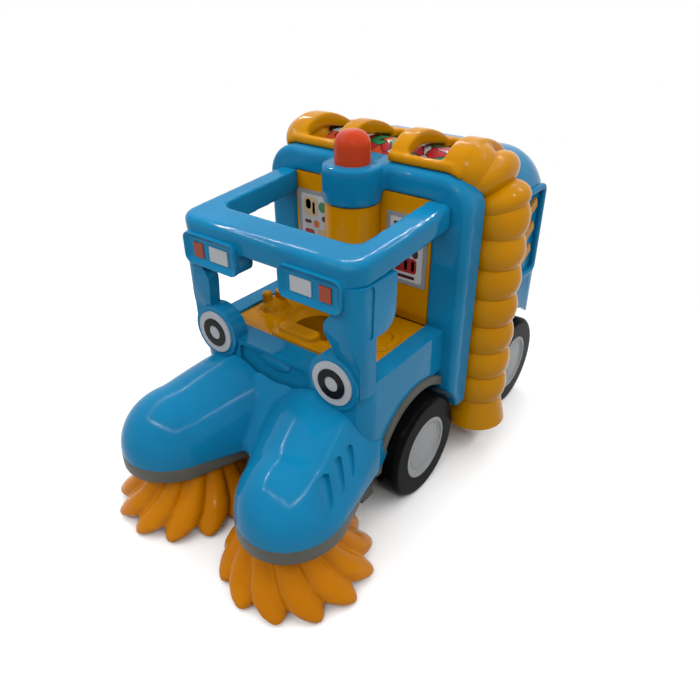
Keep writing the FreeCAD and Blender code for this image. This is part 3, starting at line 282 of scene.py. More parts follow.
def patchwork_print():
    """Odd shapes in a few inks, parted by thin dark lines."""
    material, tree, shader, place = new_material("vinyl_patchwork_print")
    warp = add_node(tree, "TexNoise", {"Vector": place, "Scale": 1 / patch_warp, "Detail": 1})
    swing = add_node(tree, "VectorMath", {0: warp.outputs["Color"], "Scale": warp_reach}, operation="SCALE")
    bent = add_node(tree, "VectorMath", {0: place, 1: swing.outputs["Vector"]}, operation="ADD")
    cells = add_node(tree, "TexVoronoi", {"Vector": bent.outputs["Vector"], "Scale": 1 / patch_size})
    rims = add_node(tree, "TexVoronoi", {"Vector": bent.outputs["Vector"], "Scale": 1 / patch_size},
                    feature="DISTANCE_TO_EDGE")
    pick_ink = add_node(tree, "SeparateColor", {"Color": cells.outputs["Color"]})
    ramp = add_node(tree, "ValToRGB", {"Fac": pick_ink.outputs["Red"]})
    ramp.color_ramp.interpolation = "CONSTANT"
    shades = ("#982027", "#B2B5B4", "#257347", "#B44728", "#B2B5B4", "#1F6B45", "#A22A31")
    while len(ramp.color_ramp.elements) < len(shades):
        ramp.color_ramp.elements.new(1)
    for number, shade in enumerate(shades):
        ramp.color_ramp.elements[number].position = number / len(shades)
        ramp.color_ramp.elements[number].color = colour(shade)
    line = add_node(tree, "MapRange", {"Value": rims.outputs["Distance"], "From Min": 0.012,
                                       "From Max": 0.03})
    paint = add_node(tree, "Mix", {"Factor": line.outputs["Result"], "A": colour("#1B1418"),
                                   "B": ramp.outputs["Color"]}, data_type="RGBA")
    tree.links.new(paint.outputs["Result"], shader.inputs["Base Color"])
    shader.inputs["Roughness"].default_value = 0.2
    shader.inputs["Specular IOR Level"].default_value = 0.2
    return material


litter_print = patchwork_print()
print(len(bpy.data.materials), "materials")

# %% [markdown]
# ## Helpers for modelling by hand
# Each new piece starts from one primitive at its real place and is then shaped in edit mode. Applying the
# place at once keeps the object at the origin, so that patterns drawn on object coordinates stay put.
# Faces, edges and points are picked by their place or direction, as one would pick them by eye.

# %% Start, pick and place
def start(shape, name, **settings):
    """Adds one primitive at its place, with its object at the origin, and opens it for editing."""
    clear_selection()
    getattr(bpy.ops.mesh, "primitive_" + shape + "_add")(**settings)
    piece = bpy.context.object
    piece.name = piece.data.name = name
    bpy.ops.object.transform_apply(location=True, rotation=True, scale=True)
    bpy.ops.object.mode_set(mode="EDIT")
    bpy.ops.mesh.select_all(action="SELECT")
    return piece


def choose(piece, test, kind="FACE"):
    """Opens a piece and selects the faces, edges or points that pass a test."""
    pick(piece)
    bpy.ops.object.mode_set(mode="EDIT")
    bpy.ops.mesh.select_mode(type=kind)
    bpy.ops.mesh.select_all(action="DESELECT")
    bpy.ops.object.mode_set(mode="OBJECT")
    mesh = piece.data
    if kind == "FACE":
        for face in mesh.polygons:
            face.select = test(face.center / mm, face.normal)
    elif kind == "EDGE":
        for edge in mesh.edges:
            edge.select = test(*[mesh.vertices[end].co / mm for end in edge.vertices])
    else:
        for point in mesh.vertices:
            point.select = test(point.co / mm)
    bpy.ops.object.mode_set(mode="EDIT")


def doubled(piece):
    """A copy of a piece, with its own mesh."""
    other = piece.copy()
    other.data = piece.data.copy()
    bpy.context.scene.collection.objects.link(other)
    return other


def placed(piece, spot=(0, 0, 0), turn=(0, 0, 0)):
    """Turns a piece about the origin, in degrees, and moves it, in millimetres."""
    pick(piece)
    piece.rotation_euler = [math.radians(angle) for angle in turn]
    piece.location = Vector(spot) * mm
    bpy.ops.object.transform_apply(location=True, rotation=True, scale=True)
    return piece


# %% Blocks, balls and rods
def slab(name, low, high, corner=0.0, along="Y", steps=6):
    """A block between two corners, with the four edges that run one way rounded."""
    centre = [(a + b) / 2 * mm for a, b in zip(low, high)]
    piece = start("cube", name, size=mm, location=centre)
    bpy.ops.transform.resize(value=[b - a for a, b in zip(low, high)], center_override=centre)
    if corner:
        axis = "XYZ".index(along)
        choose(piece, lambda a, b: abs((b - a).normalized()[axis]) > 0.99, "EDGE")
        bpy.ops.mesh.bevel(offset=corner * mm, segments=steps)
    bpy.ops.object.mode_set(mode="OBJECT")
    return piece


def ball(name, centre, radii, segments=48):
    """A sphere stretched to three half sizes."""
    spot = [value * mm for value in centre]
    piece = start("uv_sphere", name, segments=segments, ring_count=segments // 2, radius=mm, location=spot)
    bpy.ops.transform.resize(value=radii, center_override=spot)
    bpy.ops.object.mode_set(mode="OBJECT")
    return piece


def rod(name, centre, radius, length, along="Z", around=64):
    """A round rod about its middle."""
    turn = {"X": (0, math.pi / 2, 0), "Y": (math.pi / 2, 0, 0), "Z": (0, 0, 0)}[along]
    piece = start("cylinder", name, vertices=around, radius=radius * mm, depth=length * mm,
                  location=[value * mm for value in centre], rotation=turn)
    bpy.ops.object.mode_set(mode="OBJECT")
    return piece


# %% Copies, joins and cuts
def twin(piece):
    """A mirrored copy of a piece on the truck's other side."""
    other = doubled(piece)
    pick(other)
    other.scale.x = -1
    bpy.ops.object.transform_apply(location=True, rotation=True, scale=True)
    bpy.ops.object.mode_set(mode="EDIT")
    bpy.ops.mesh.select_all(action="SELECT")
    bpy.ops.mesh.normals_make_consistent(inside=False)
    bpy.ops.object.mode_set(mode="OBJECT")
    return other


def together(*pieces):
    """Joins pieces into the first one."""
    clear_selection()
    for piece in pieces:
        piece.select_set(True)
    bpy.context.view_layer.objects.active = pieces[0]
    bpy.ops.object.join()
    return pieces[0]


def combined(piece, others, operation):
    """Changes a piece by other shapes, one after the other, and removes them."""
    for other in others:
        pick(piece)
        change = piece.modifiers.new("mould_change", "BOOLEAN")
        change.operation = operation
        change.object = other
        bpy.ops.object.modifier_apply(modifier=change.name)
        bpy.data.objects.remove(other)
    return piece


def cut_away(piece, *cutters):
    """Cuts shapes out of a piece."""
    return combined(piece, cutters, "DIFFERENCE")


def grown(piece, *additions):
    """Merges shapes into a piece."""
    return combined(piece, additions, "UNION")


# %% [markdown]
# ## Softened mould edges
# No edge of a moulded toy is sharp: the mould has a small radius everywhere, and it is these radii that
# catch the light. A copy of a CAD moulding is welded, its flat faces are joined up, and its edges get a
# true round with a Bevel modifier. The softest mouldings are rebuilt on a fine grid and smoothed instead.
# The copy then stands for the CAD node, which stays as it was for collision, hidden.

# %% Copies of the CAD mouldings
weld_gap, flat_angle = 0.002 * mm, math.radians(0.2)


def welded_copy(node):
    """A copy of a CAD node with its loose triangles welded and its flat faces joined up."""
    piece = doubled(nodes[node])
    piece.parent = None
    for key in list(piece.keys()):
        del piece[key]
    pick(piece)
    bpy.ops.mesh.customdata_custom_splitnormals_clear()
    bpy.ops.object.mode_set(mode="EDIT")
    bpy.ops.mesh.select_all(action="SELECT")
    bpy.ops.mesh.remove_doubles(threshold=weld_gap)
    bpy.ops.mesh.dissolve_limited(angle_limit=flat_angle)
    bpy.ops.object.mode_set(mode="OBJECT")
    return piece


def softened(piece, radius, segments=3, angle=32):
    """Rounds every edge of a piece that is sharper than an angle, with smooth shading over it."""
    pick(piece)
    bevel = piece.modifiers.new("mould_radius", "BEVEL")
    bevel.width = radius * mm
    bevel.segments = segments
    bevel.limit_method = "ANGLE"
    bevel.angle_limit = math.radians(angle)
    bevel.use_clamp_overlap = True
    bpy.ops.object.modifier_apply(modifier=bevel.name)
    bpy.ops.object.shade_smooth_by_angle(angle=math.radians(angle))
    return piece


def blended(piece, voxel, passes):
    """Rebuilds closed shapes as one skin on a fine grid and smooths it, which blends them like soft clay."""
    pick(piece)
    remesh = piece.modifiers.new("grid", "REMESH")
    remesh.mode = "VOXEL"
    remesh.voxel_size = voxel * mm
    remesh.use_smooth_shade = True
    bpy.ops.object.modifier_apply(modifier=remesh.name)
    smooth = piece.modifiers.new("clay", "SMOOTH")
    smooth.factor = 0.5
    smooth.iterations = passes
    bpy.ops.object.modifier_apply(modifier=smooth.name)
    return piece


# %% [markdown]
# ## The nose
# The nose is one blue moulding: two long pods that splay outwards over the brushes and melt into a saddle
# in front of the cab. A pod starts as a sphere. Its back half is cut off, the open rim is drawn out and up
# towards the cab, and one more cut flattens its flank a little. The two pods and a wedge between them are
# then blended on a voxel grid, because a smooth valley between two blobs can't be had from a bevel.

# %% One pod
seam = 27.4
pod_half_width, pod_nose, pod_height = 18.2, 20.6, 19.2
pod_runs = ((7, 1.05, 1.13), (8, 1.06, 1.11), (8, 1.05, 1.08), (17, 1.0, 1.04))
pod_splay, pod_skirt = 18.3, 4
flank_spot, flank_direction = (39.1, -54.2, 37.8), (0.87, 0.10, 0.48)
brush_place = (26.7, -64.0)
pod = start("uv_sphere", "pod", segments=64, ring_count=32, radius=mm, rotation=(math.pi / 2, 0, 0))
bpy.ops.transform.resize(value=(pod_half_width, pod_nose, pod_height), center_override=(0, 0, 0))
bpy.ops.mesh.bisect(plane_co=(0, 0, 0), plane_no=(0, 1, 0), clear_outer=True)
choose(pod, lambda spot: abs(spot.y) < 0.01, "VERT")
for run, wider, taller in pod_runs:
    bpy.ops.mesh.extrude_region_move(TRANSFORM_OT_translate={"value": (0, run * mm, 0)})
    bpy.ops.transform.resize(value=(wider, 1, taller), center_override=(0, 0, 0))
bpy.ops.mesh.edge_face_add()
bpy.ops.mesh.select_all(action="SELECT")
bpy.ops.mesh.bisect(plane_co=(0, 0, -pod_skirt * mm), plane_no=(0, 0, 1), use_fill=True, clear_inner=True)
placed(pod, spot=(*brush_place, seam), turn=(0, 0, pod_splay))
choose(pod, lambda centre, normal: True)
bpy.ops.mesh.bisect(plane_co=[value * mm for value in flank_spot], plane_no=flank_direction, use_fill=True,
                    clear_outer=True)
bpy.ops.object.mode_set(mode="OBJECT")
print("pod", len(pod.data.polygons), "faces")

# %% The saddle between the pods
saddle_half_width, saddle_front, saddle_back = 7.5, -57, -41
saddle_foot, saddle_top, saddle_dip, saddle_fall = 22, 52.6, 1.6, 23.2
saddle = slab("saddle", (-saddle_half_width, saddle_front, saddle_foot),
              (saddle_half_width, saddle_back, saddle_top))
choose(saddle, lambda centre, normal: True)
bpy.ops.mesh.bisect(plane_co=(0, 0, 0), plane_no=(1, 0, 0))
choose(saddle, lambda spot: abs(spot.x) < 0.1 and spot.z > saddle_foot + 1, "VERT")
bpy.ops.transform.translate(value=(0, 0, -saddle_dip * mm))
choose(saddle, lambda spot: spot.y < saddle_front + 1 and spot.z > saddle_foot + 1, "VERT")
bpy.ops.transform.translate(value=(0, 0, -saddle_fall * mm))
choose(saddle, lambda spot: spot.y < saddle_front + 1, "VERT")
bpy.ops.transform.resize(value=(0.2, 1, 1), center_override=(0, saddle_front * mm, 0))
bpy.ops.object.mode_set(mode="OBJECT")
nose = together(pod, twin(pod), saddle)
blended(nose, voxel=0.55, passes=36)
choose(nose, lambda centre, normal: True)
bpy.ops.mesh.bisect(plane_co=(0, 0, seam * mm), plane_no=(0, 0, 1), use_fill=True, clear_inner=True)
bpy.ops.object.mode_set(mode="OBJECT")
print("nose", len(nose.data.polygons), "faces")

# %% [markdown]
# The nose stops at the cab's rounded front and leaves room for the round lamp bosses and the heads of the
# brush spindles. Each flank has three slots like gills. A slot's cutter is its outline drawn out sideways,
# less a slightly shrunken and turned copy of the nose, so that its floor follows the flank and gets deeper
# towards the rear.

# %% Cut the nose
cab_half_width, cab_front, cab_corner = 37.15, -42.2, 8
lamp_across, lamp_height, boss_room_radius = 26, 60.4, 9.75
flank_outside, gill_depth, gill_hinge = 34, 14, 40
cab_room = slab("cab_room", (-cab_half_width, cab_front, 20), (cab_half_width, 20, 95), corner=cab_corner,
                along="Z", steps=12)
boss_room = rod("boss_room", (lamp_across, -49, lamp_height), boss_room_radius, 26, along="Y")
spindle_room = rod("spindle_room", (*brush_place, 28.5), 5.2, 5)
bosses = together(boss_room, spindle_room)
cut_away(nose, cab_room, together(bosses, twin(bosses)))


def gill(outline, lean=9, shallow=0.35):
    """The cutter of one slot on the left flank, from its outline in a side view. It is deeper at the rear."""
    slot = start("circle", "gill", vertices=len(outline), radius=mm, fill_type="NGON")
    for number, (back, height) in enumerate(outline):
        here = slot.data.vertices[number].co / mm
        choose(slot, lambda spot: (spot - here).length < 0.0001, "VERT")
        bpy.ops.transform.translate(value=(Vector((flank_outside, back, height)) - here) * mm)
        bpy.ops.object.mode_set(mode="OBJECT")
    choose(slot, lambda centre, normal: True)
    bpy.ops.mesh.extrude_region_move(TRANSFORM_OT_translate={"value": (gill_depth * mm, 0, 0)})
    bpy.ops.mesh.select_all(action="SELECT")
    bpy.ops.mesh.normals_make_consistent(inside=False)
    core = doubled(nose)
    choose(core, lambda centre, normal: True)
    bpy.ops.transform.shrink_fatten(value=-shallow * mm)
    hinge = Vector((gill_hinge, min(outline)[0], 0))
    placed(placed(placed(core, spot=-hinge), turn=(0, 0, lean)), spot=hinge)
    return cut_away(slot, core)


gills = [gill(((-64.1, 42.9), (-61.1, 42.6), (-59.5, 41.6), (-60.2, 39.7), (-61.3, 37.3), (-62.5, 35.3),
               (-63.8, 34.1), (-66.6, 34.0), (-67.0, 35.2), (-66.3, 37.7), (-65.8, 40.4), (-65.1, 42.1))),
         gill(((-55.4, 43.2), (-52.9, 43.1), (-52.0, 42.3), (-52.8, 40.3), (-54.0, 38.1), (-55.5, 35.4),
               (-57.0, 34.6), (-58.4, 34.8), (-58.3, 36.6), (-57.9, 39.2), (-57.2, 41.4), (-56.4, 42.7))),
         gill(((-48.1, 43.1), (-46.2, 43.0), (-45.6, 42.0), (-46.6, 39.8), (-48.2, 37.3), (-50.0, 35.4),
               (-51.2, 35.4), (-51.0, 37.2), (-50.4, 39.6), (-49.4, 41.8)))]
row = together(*gills)
cut_away(nose, together(row, twin(row)))
softened(nose, 0.35, segments=2, angle=40)
finish_piece(nose, "hood_moulding", "truck", "blue_plastic", abs_blue, stands_for=["hood"])

# %% [markdown]
# ## The brushes
# On the real toy a brush isn't made of bristles. It is one soft moulding with twelve fat fingers that swirl
# outwards and down from a crown. One finger is drawn from a circle that is extruded down in steps, each
# step moved out, turned about the brush's axis and swollen, down to a blunt point. Twelve of them and a
# crown are blended, so that the fingers grow together, with narrow valleys between them, and only their
# tips stand free.

# %% One finger
# Each step is a height, the middle's distance from the axis, half thickness, half width and turn in degrees.
steps = ((21.0, 10.6, 4.7, 3.6, -40), (17.0, 12.3, 4.9, 4.0, -34), (13.0, 14.6, 5.0, 4.5, -27.5),
         (9.0, 17.2, 5.4, 5.5, -20.5), (5.4, 19.4, 5.4, 5.9, -14), (3.0, 21.0, 4.9, 4.7, -8.5),
         (1.1, 22.6, 3.4, 2.4, -4))
height, out, deep, wide, turn = steps[0]
root = (out * mm, 0, height * mm)
finger = start("circle", "finger", vertices=24, radius=mm, fill_type="NGON", location=root)
bpy.ops.transform.resize(value=(deep, wide, 1), center_override=root)
for last, step in zip(steps, steps[1:]):
    bpy.ops.mesh.extrude_region_move(TRANSFORM_OT_translate={
        "value": ((step[1] - last[1]) * mm, 0, (step[0] - last[0]) * mm)})
    bpy.ops.transform.resize(value=(step[2] / last[2], step[3] / last[3], 1),
                             center_override=(step[1] * mm, 0, step[0] * mm))
bpy.ops.object.mode_set(mode="OBJECT")
for point in finger.data.vertices:
    height = point.co.z / mm
    for last, step in zip(steps, steps[1:]):
        if step[0] - 0.01 <= height <= last[0] + 0.01:
            share = (last[0] - height) / (last[0] - step[0])
            angle = math.radians(last[4] + (step[4] - last[4]) * share)
            point.co = Matrix.Rotation(angle, 3, "Z") @ point.co
            break
print("finger", len(finger.data.polygons), "faces")

# %% The whole brush
finger_count = 12
fingers = [finger]
for number in range(1, finger_count):
    fingers.append(placed(doubled(finger), turn=(0, 0, 360 / finger_count * number)))
crown_radius, crown_foot, crown_height, crown_flare = 13.5, 9, 12, 1.2
hollow_radius, hollow_foot, hollow_height, hollow_flare = 11.6, 0.2, 16, 1.25
crown = rod("crown", (0, 0, crown_foot + crown_height / 2), crown_radius, crown_height)
choose(crown, lambda spot: spot.z < crown_foot + 1, "VERT")
bpy.ops.transform.resize(value=(crown_flare, crown_flare, 1), center_override=(0, 0, crown_foot * mm))
bpy.ops.object.mode_set(mode="OBJECT")
brush = together(crown, *fingers)
choose(brush, lambda centre, normal: True)
bpy.ops.mesh.normals_make_consistent(inside=False)
blended(brush, voxel=0.45, passes=8)
hollow = rod("hollow", (0, 0, hollow_foot + hollow_height / 2), hollow_radius, hollow_height)
choose(hollow, lambda spot: spot.z < hollow_foot + 1, "VERT")
bpy.ops.transform.resize(value=(hollow_flare, hollow_flare, 1), center_override=(0, 0, 0))
bpy.ops.object.mode_set(mode="OBJECT")
cut_away(brush, hollow)
spindle = rod("spindle", (0, 0, 24.2), 2.55, 7.2)
head = rod("spindle_head", (0, 0, 28.4), 4.5, 1.6)
together(brush, softened(spindle, 0.2), softened(head, 0.4))
placed(brush, spot=(*brush_place, 0))
right_brush = twin(brush)
finish_piece(brush, "brush_left_moulding", "left_brush", "yellow_plastic", pe_amber,
             stands_for=["brush_left"])
finish_piece(right_brush, "brush_right_moulding", "right_brush", "yellow_plastic", pe_amber,
             stands_for=["brush_right"])

# %% [markdown]
# ## The cab
# The cab's front has a ledge along its top edge, from lamp to lamp, and a plain raised oval below it.
# Behind the front pillars a groove that narrows downwards parts the pillar from the wing that carries on
# along the roof. These are cut out of the welded CAD copy or merged into it before the edges are rounded,
# so that their edges get the same radius.

# %% Cab body
groove_back, groove_narrowing = -37.4, 0.45
cab = welded_copy("cab_body")
panel = slab("panel_recess", (-15.6, -44, 40), (15.6, -40.9, 59.0), corner=2, along="Y")
grooves = slab("pillar_groove", (36.5, -41.5, 77.4), (40, -36.8, 94.6), corner=1.7, along="X")
choose(grooves, lambda spot: spot.z < 82, "VERT")
bpy.ops.transform.resize(value=(1, groove_narrowing, 1), center_override=(0, groove_back * mm, 0))
bpy.ops.object.mode_set(mode="OBJECT")
cut_away(cab, panel, together(grooves, twin(grooves)))
grown(cab, ball("oval", (0.2, -40.9, 56.6), (6.6, 1.0, 2.9)))
finish_piece(softened(cab, 0.8), "cab_body_moulding", "truck", "blue_plastic", abs_blue,
             stands_for=["cab_body"])

# %% [markdown]
# ## The roof and its lamp boxes
# Under the front of the roof hang two lamp boxes. Each has a soft raised rim round a sunken field that
# holds a white and an orange lamp. The rim is a thin block whose front face is inset and pushed back.

# %% Lamp box rims
rim_width, field_depth = 1.9, 1.6
rim = slab("lamp_rim", (8.8, -46.9, 86.8), (32.2, -44.6, 97.5), corner=2.6, along="Y", steps=8)
choose(rim, lambda centre, normal: normal.y < -0.9)
bpy.ops.mesh.inset(thickness=rim_width * mm)
bpy.ops.transform.translate(value=(0, field_depth * mm, 0))
bpy.ops.object.mode_set(mode="OBJECT")
rims = together(rim, twin(rim))
finish_piece(softened(rims, 0.6), "lamp_box_rims", "truck", "blue_plastic", abs_blue)

# %% Roof frame
opening_half_width, opening_front, opening_corner = 28, -31.9, 4.2
roof = welded_copy("roof_frame")
choose(roof, lambda a, b: abs(a.x - b.x) < 0.1 and abs(a.z - b.z) > 4
       and abs(abs(a.x) - opening_half_width) < 0.6 and abs(a.y - opening_front) < 1.5, "EDGE")
print("inner roof corners", sum(edge.select for edge in roof.data.edges))
bpy.ops.mesh.bevel(offset=opening_corner * mm, segments=8)
bpy.ops.object.mode_set(mode="OBJECT")
finish_piece(blended(roof, voxel=0.5, passes=12), "roof_frame_moulding", "truck", "blue_plastic", abs_blue,
             stands_for=["roof_frame"])

# %% [markdown]
# ## The bulkhead, the hopper and the underbody
# The bulkhead is the thick frame behind the cab, and its rounded cap holds the beacon. The hopper's roof
# has a shallow channel across it, the tips of its tail are blunt, and each side has a panel inside a raised
# frame. The frame is a thin block that is inset on both faces, opened, and bridged from rim to rim.

# %% Bulkhead
finish_piece(blended(welded_copy("bulkhead_frame"), voxel=0.6, passes=18), "bulkhead_frame_moulding", "truck",
             "blue_plastic", abs_blue, stands_for=["bulkhead_frame"])

# %% Hopper
hopper = welded_copy("hopper")
channel = slab("roof_channel", (-24, 52.5, 112.0), (24, 57.5, 130), corner=1.2, along="Z")
tail_tips = slab("tail_tips", (-45, 74, 30), (45, 92, 37.6))
cut_away(hopper, channel, tail_tips)
finish_piece(softened(hopper, 1.0), "hopper_moulding", "truck", "blue_plastic", abs_blue,
             stands_for=["hopper"])

# %% Raised frames on the hopper's sides
frame_width = 2.4
frame_bar = slab("panel_frame", (37.6, 57.9, 57.9), (39.8, 76.1, 96.1), corner=3.6, along="X")
for side in (1, -1):
    choose(frame_bar, lambda centre, normal: normal.x * side > 0.9)
    bpy.ops.mesh.inset(thickness=frame_width * mm)
    bpy.ops.mesh.delete(type="FACE")
choose(frame_bar, lambda a, b: False, "EDGE")
bpy.ops.mesh.select_non_manifold()
bpy.ops.mesh.bridge_edge_loops()
bpy.ops.object.mode_set(mode="OBJECT")
frames = together(frame_bar, twin(frame_bar))
finish_piece(softened(frames, 0.8), "panel_frames", "truck", "blue_plastic", abs_blue)

# %% Underbody
finish_piece(softened(welded_copy("chassis"), 0.5), "chassis_moulding", "truck", "grey_plastic", abs_grey,
             stands_for=["chassis"])

# %% [markdown]
# ## The yellow mouldings in the cab
# The cab floor is a yellow deck with a round well for the figure. A low rounded hump stands for the
# dashboard, and a soft mound at the right carries two thick knobs. The CAD's plain bar and block are cut
# off the deck, and the humps are blended from blocks and balls and cut level under the deck.

# %% Deck, wall and column
deck_level, hump_foot = 59.75, 57.4
deck = welded_copy("cab_interior")
cut_away(deck, slab("deck_top", (-40, -40, deck_level), (40, 10, 75)))
finish_piece(softened(deck, 0.5), "cab_interior_moulding", "truck", "yellow_plastic", abs_yellow,
             stands_for=["cab_interior"])
for node, radius in (("cab_back_wall", 0.4), ("cab_column", 0.3)):
    finish_piece(softened(welded_copy(node), radius), node + "_moulding", "truck", "yellow_plastic",
                 abs_yellow, stands_for=[node])

# %% Dashboard hump, seat edge and console
dash = together(slab("dash", (-8.5, -31.2, 57), (8, -25.4, 63.6), corner=2.6, along="Z"),
                slab("dash_low", (-10.5, -32.6, 57), (17, -26.4, 61.4), corner=2.4, along="Z"))
mound = together(ball("mound", (-22.3, -17.2, 59.6), (4.9, 6.0, 5.0)),
                 ball("mound_foot", (-21.6, -18.0, 58.8), (6.3, 7.4, 2.3)))
bolster_middle, bolster_swing, bolster_step = (23.5, -12.0), (3.6, 6.5), 0.35
beads = []
for number in range(9):
    turn = bolster_step * number
    bead_place = (bolster_middle[0] + bolster_swing[0] * math.sin(turn),
                  bolster_middle[1] + bolster_swing[1] * math.cos(turn), 59.0)
    beads.append(ball("bolster", bead_place, (1.9, 1.9, 1.8), segments=20))
bolster = together(*beads)
for form in (dash, mound, bolster):
    choose(form, lambda centre, normal: True)
    blended(form, voxel=0.35, passes=9)
    choose(form, lambda centre, normal: True)
    bpy.ops.mesh.bisect(plane_co=(0, 0, hump_foot * mm), plane_no=(0, 0, 1), use_fill=True, clear_inner=True)
    bpy.ops.object.mode_set(mode="OBJECT")
finish_piece(together(dash, mound, bolster), "deck_humps", "truck", "yellow_plastic", abs_yellow)

# %% Console knobs
knob_places, knob_middle, knob_radius, knob_length = ((-23.6, -19.2), (-21.2, -15.0)), 63.9, 1.9, 5.4
cap_edge, cap_rise = 0.5, 0.45
knobs = []
for spot in knob_places:
    knob = rod("knob", (*spot, knob_middle), knob_radius, knob_length, around=32)
    choose(knob, lambda centre, normal: normal.z > 0.9)
    bpy.ops.mesh.inset(thickness=cap_edge * mm)
    bpy.ops.transform.translate(value=(0, 0, cap_rise * mm))
    knobs.append(softened(knob, 0.6, segments=4))
finish_piece(together(*knobs), "console_knobs_moulding", "truck", "yellow_plastic", abs_yellow,
             stands_for=["console_knobs"])

# %% [markdown]
# ## The top over the litter drum
# Thick, rounded ribs stand over the drum like handles. They are one soft yellow moulding with fat
# shoulders, so the CAD copy is blended with a ball at each shoulder, after the rims of its middle window
# are moved apart a little. The drum under the ribs turns, and its printed band shows between them.

# %% Ribs
arches = welded_copy("hopper_arches")
shoulder = ball("shoulder", (35.5, 20.5, 113.4), (6.6, 10.2, 7.9))
rim_shift = 1.7
for side in (1, -1):
    choose(arches, lambda spot: 6 < spot.x * side < 7.5, "VERT")
    bpy.ops.transform.translate(value=(side * rim_shift * mm, 0, 0))
bpy.ops.object.mode_set(mode="OBJECT")
together(arches, shoulder, twin(shoulder))
finish_piece(blended(arches, voxel=0.4, passes=45), "hopper_arches_moulding", "truck", "yellow_plastic",
             abs_yellow, stands_for=["hopper_arches"])
finish_piece(softened(welded_copy("litter_drum"), 0.4), "litter_drum_moulding", "drum", "drum_plastic",
             litter_print, stands_for=["litter_drum"])

# %% [markdown]
# ## The beacon
# The beacon is a red-orange dome that snaps into the cap. The mould left a small raised ring on its crown,
# which is a short rod whose end is inset and pushed in.

# %% Beacon
ring_width, ring_dip = 0.7, 0.25
beacon = welded_copy("beacon")
crown_ring = rod("crown_ring", (0, 1.5, 123.9), 1.9, 0.7, around=40)
choose(crown_ring, lambda centre, normal: normal.z > 0.9)
bpy.ops.mesh.inset(thickness=ring_width * mm)
bpy.ops.transform.translate(value=(0, 0, -ring_dip * mm))
bpy.ops.object.mode_set(mode="OBJECT")
pick(beacon)
bpy.ops.object.shade_smooth_by_angle(angle=math.radians(32))
finish_piece(together(beacon, softened(crown_ring, 0.12)), "beacon_moulding", "truck", "orange_plastic",
             abs_orange, stands_for=["beacon"])

# %% [markdown]
# ## The pictures on the cab wall
# Two printed labels stick to the cab's rear wall, one each side of the column: a silver-grey border, a
# white field and small coloured shapes. Each shape is a thin rounded plate of print, a few hundredths of a
# millimetre proud of the label, so that it stays crisp at any size.

# %% Print the pictures
wall_print, label_across, label_middle = 5.3, 19.95, 86.2
field_size, field_corner, field_lift, ink_lift = (13.4, 22.4), 0.8, 0.04, 0.08


def print_plate(spot, size, corner, material, lift):
    """One flat printed shape, given by its middle and size on the wall."""
    low = (spot[0] - size[0] / 2, wall_print - lift, spot[1] - size[1] / 2)
    high = (spot[0] + size[0] / 2, wall_print, spot[1] + size[1] / 2)
    plate = slab("print_plate", low, high, corner=corner, along="Y", steps=5)
    plate.data.materials.append(material)
    return plate


# Each shape is its place across and up from the label's middle, its width and height, its corner and its ink.
right_shapes = ((-2.2, 6.6, 6.6, 7.2, 1.6, "cream"), (-3.4, 7.4, 2.4, 3.8, 1.15, "red"),
                (-0.9, 6.2, 1.1, 4.6, 0.5, "orange"), (3.4, 7.2, 4.0, 4.0, 1.95, "green"),
                (4.0, 2.9, 2.2, 2.2, 1.05, "dark"), (-3.7, 0.7, 3.2, 1.3, 0.6, "dark"),
                (0.3, 0.3, 2.6, 3.0, 1.25, "orange"), (-3.1, -4.6, 4.6, 4.8, 1.1, "red"),
                (-3.1, -9.0, 5.2, 1.8, 0.8, "red"), (3.0, -2.6, 4.4, 2.2, 1.0, "cream"),
                (3.3, -6.0, 3.6, 2.6, 0.6, "dark"), (3.1, -9.2, 2.4, 1.6, 0.75, "green"))
left_shapes = ((-3.9, 8.0, 2.6, 3.4, 0.5, "dark"), (-0.4, 7.4, 2.2, 4.6, 0.5, "dark"),
               (3.6, 7.8, 3.0, 3.0, 1.45, "green"), (-3.6, 3.9, 3.4, 1.3, 0.6, "dark"),
               (3.2, 3.4, 4.4, 2.0, 0.95, "orange"), (-2.6, 0.2, 5.6, 2.6, 0.7, "cream"),
               (3.8, -0.6, 2.4, 3.2, 1.15, "dark"), (-0.2, -5.3, 9.6, 5.6, 1.3, "red"),
               (-3.2, -5.3, 1.2, 3.8, 0.5, "dark"), (0.2, -5.3, 1.2, 3.8, 0.5, "cream"),
               (3.1, -5.3, 1.2, 3.8, 0.5, "dark"), (-0.2, -9.7, 8.4, 1.2, 0.5, "dark"))
for side, label_x, shapes in (("right", -label_across, right_shapes), ("left", label_across, left_shapes)):
    plates = [print_plate((label_x, label_middle), field_size, field_corner, ink_white, field_lift)]
    for across, up, width, height, corner, ink in shapes:
        plates.append(print_plate((label_x + across, label_middle + up), (width, height), corner, inks[ink],
                                  ink_lift))
    finish_piece(together(*plates), "picture_print_" + side, "truck", "pale_plastic")

# %% [markdown]
# ## The wheels
# Each hub is a flat pale disc with a thin groove near its edge. The groove is pressed into the CAD copy's
# outer face by three insets. The smooth, round-shouldered tyres are right as they come.

# %% Hubs
hub_border, groove_flank, groove_depth = 1.0, 0.45, 0.35
for end in ("front", "rear"):
    hubs = welded_copy(end + "_hubs")
    for side in (-1, 1):
        flats = [(face.area, face.center.x / mm) for face in hubs.data.polygons
                 if face.normal.x * side > 0.99 and face.center.x * side > 0]
        flat = max(flats)[1]
        choose(hubs, lambda centre, normal: normal.x * side > 0.99 and abs(centre.x - flat) < 0.05)
        print(end, side, "hub flat at", round(flat, 2))
        bpy.ops.mesh.inset(thickness=hub_border * mm)
        bpy.ops.mesh.inset(thickness=groove_flank * mm, depth=-groove_depth * mm)
        bpy.ops.mesh.inset(thickness=groove_flank * mm, depth=groove_depth * mm)
    finish_piece(softened(hubs, 0.15, segments=2), end + "_hubs_moulding", end + "_wheels", "hub_plastic",
                 abs_hub, stands_for=[end + "_hubs"])

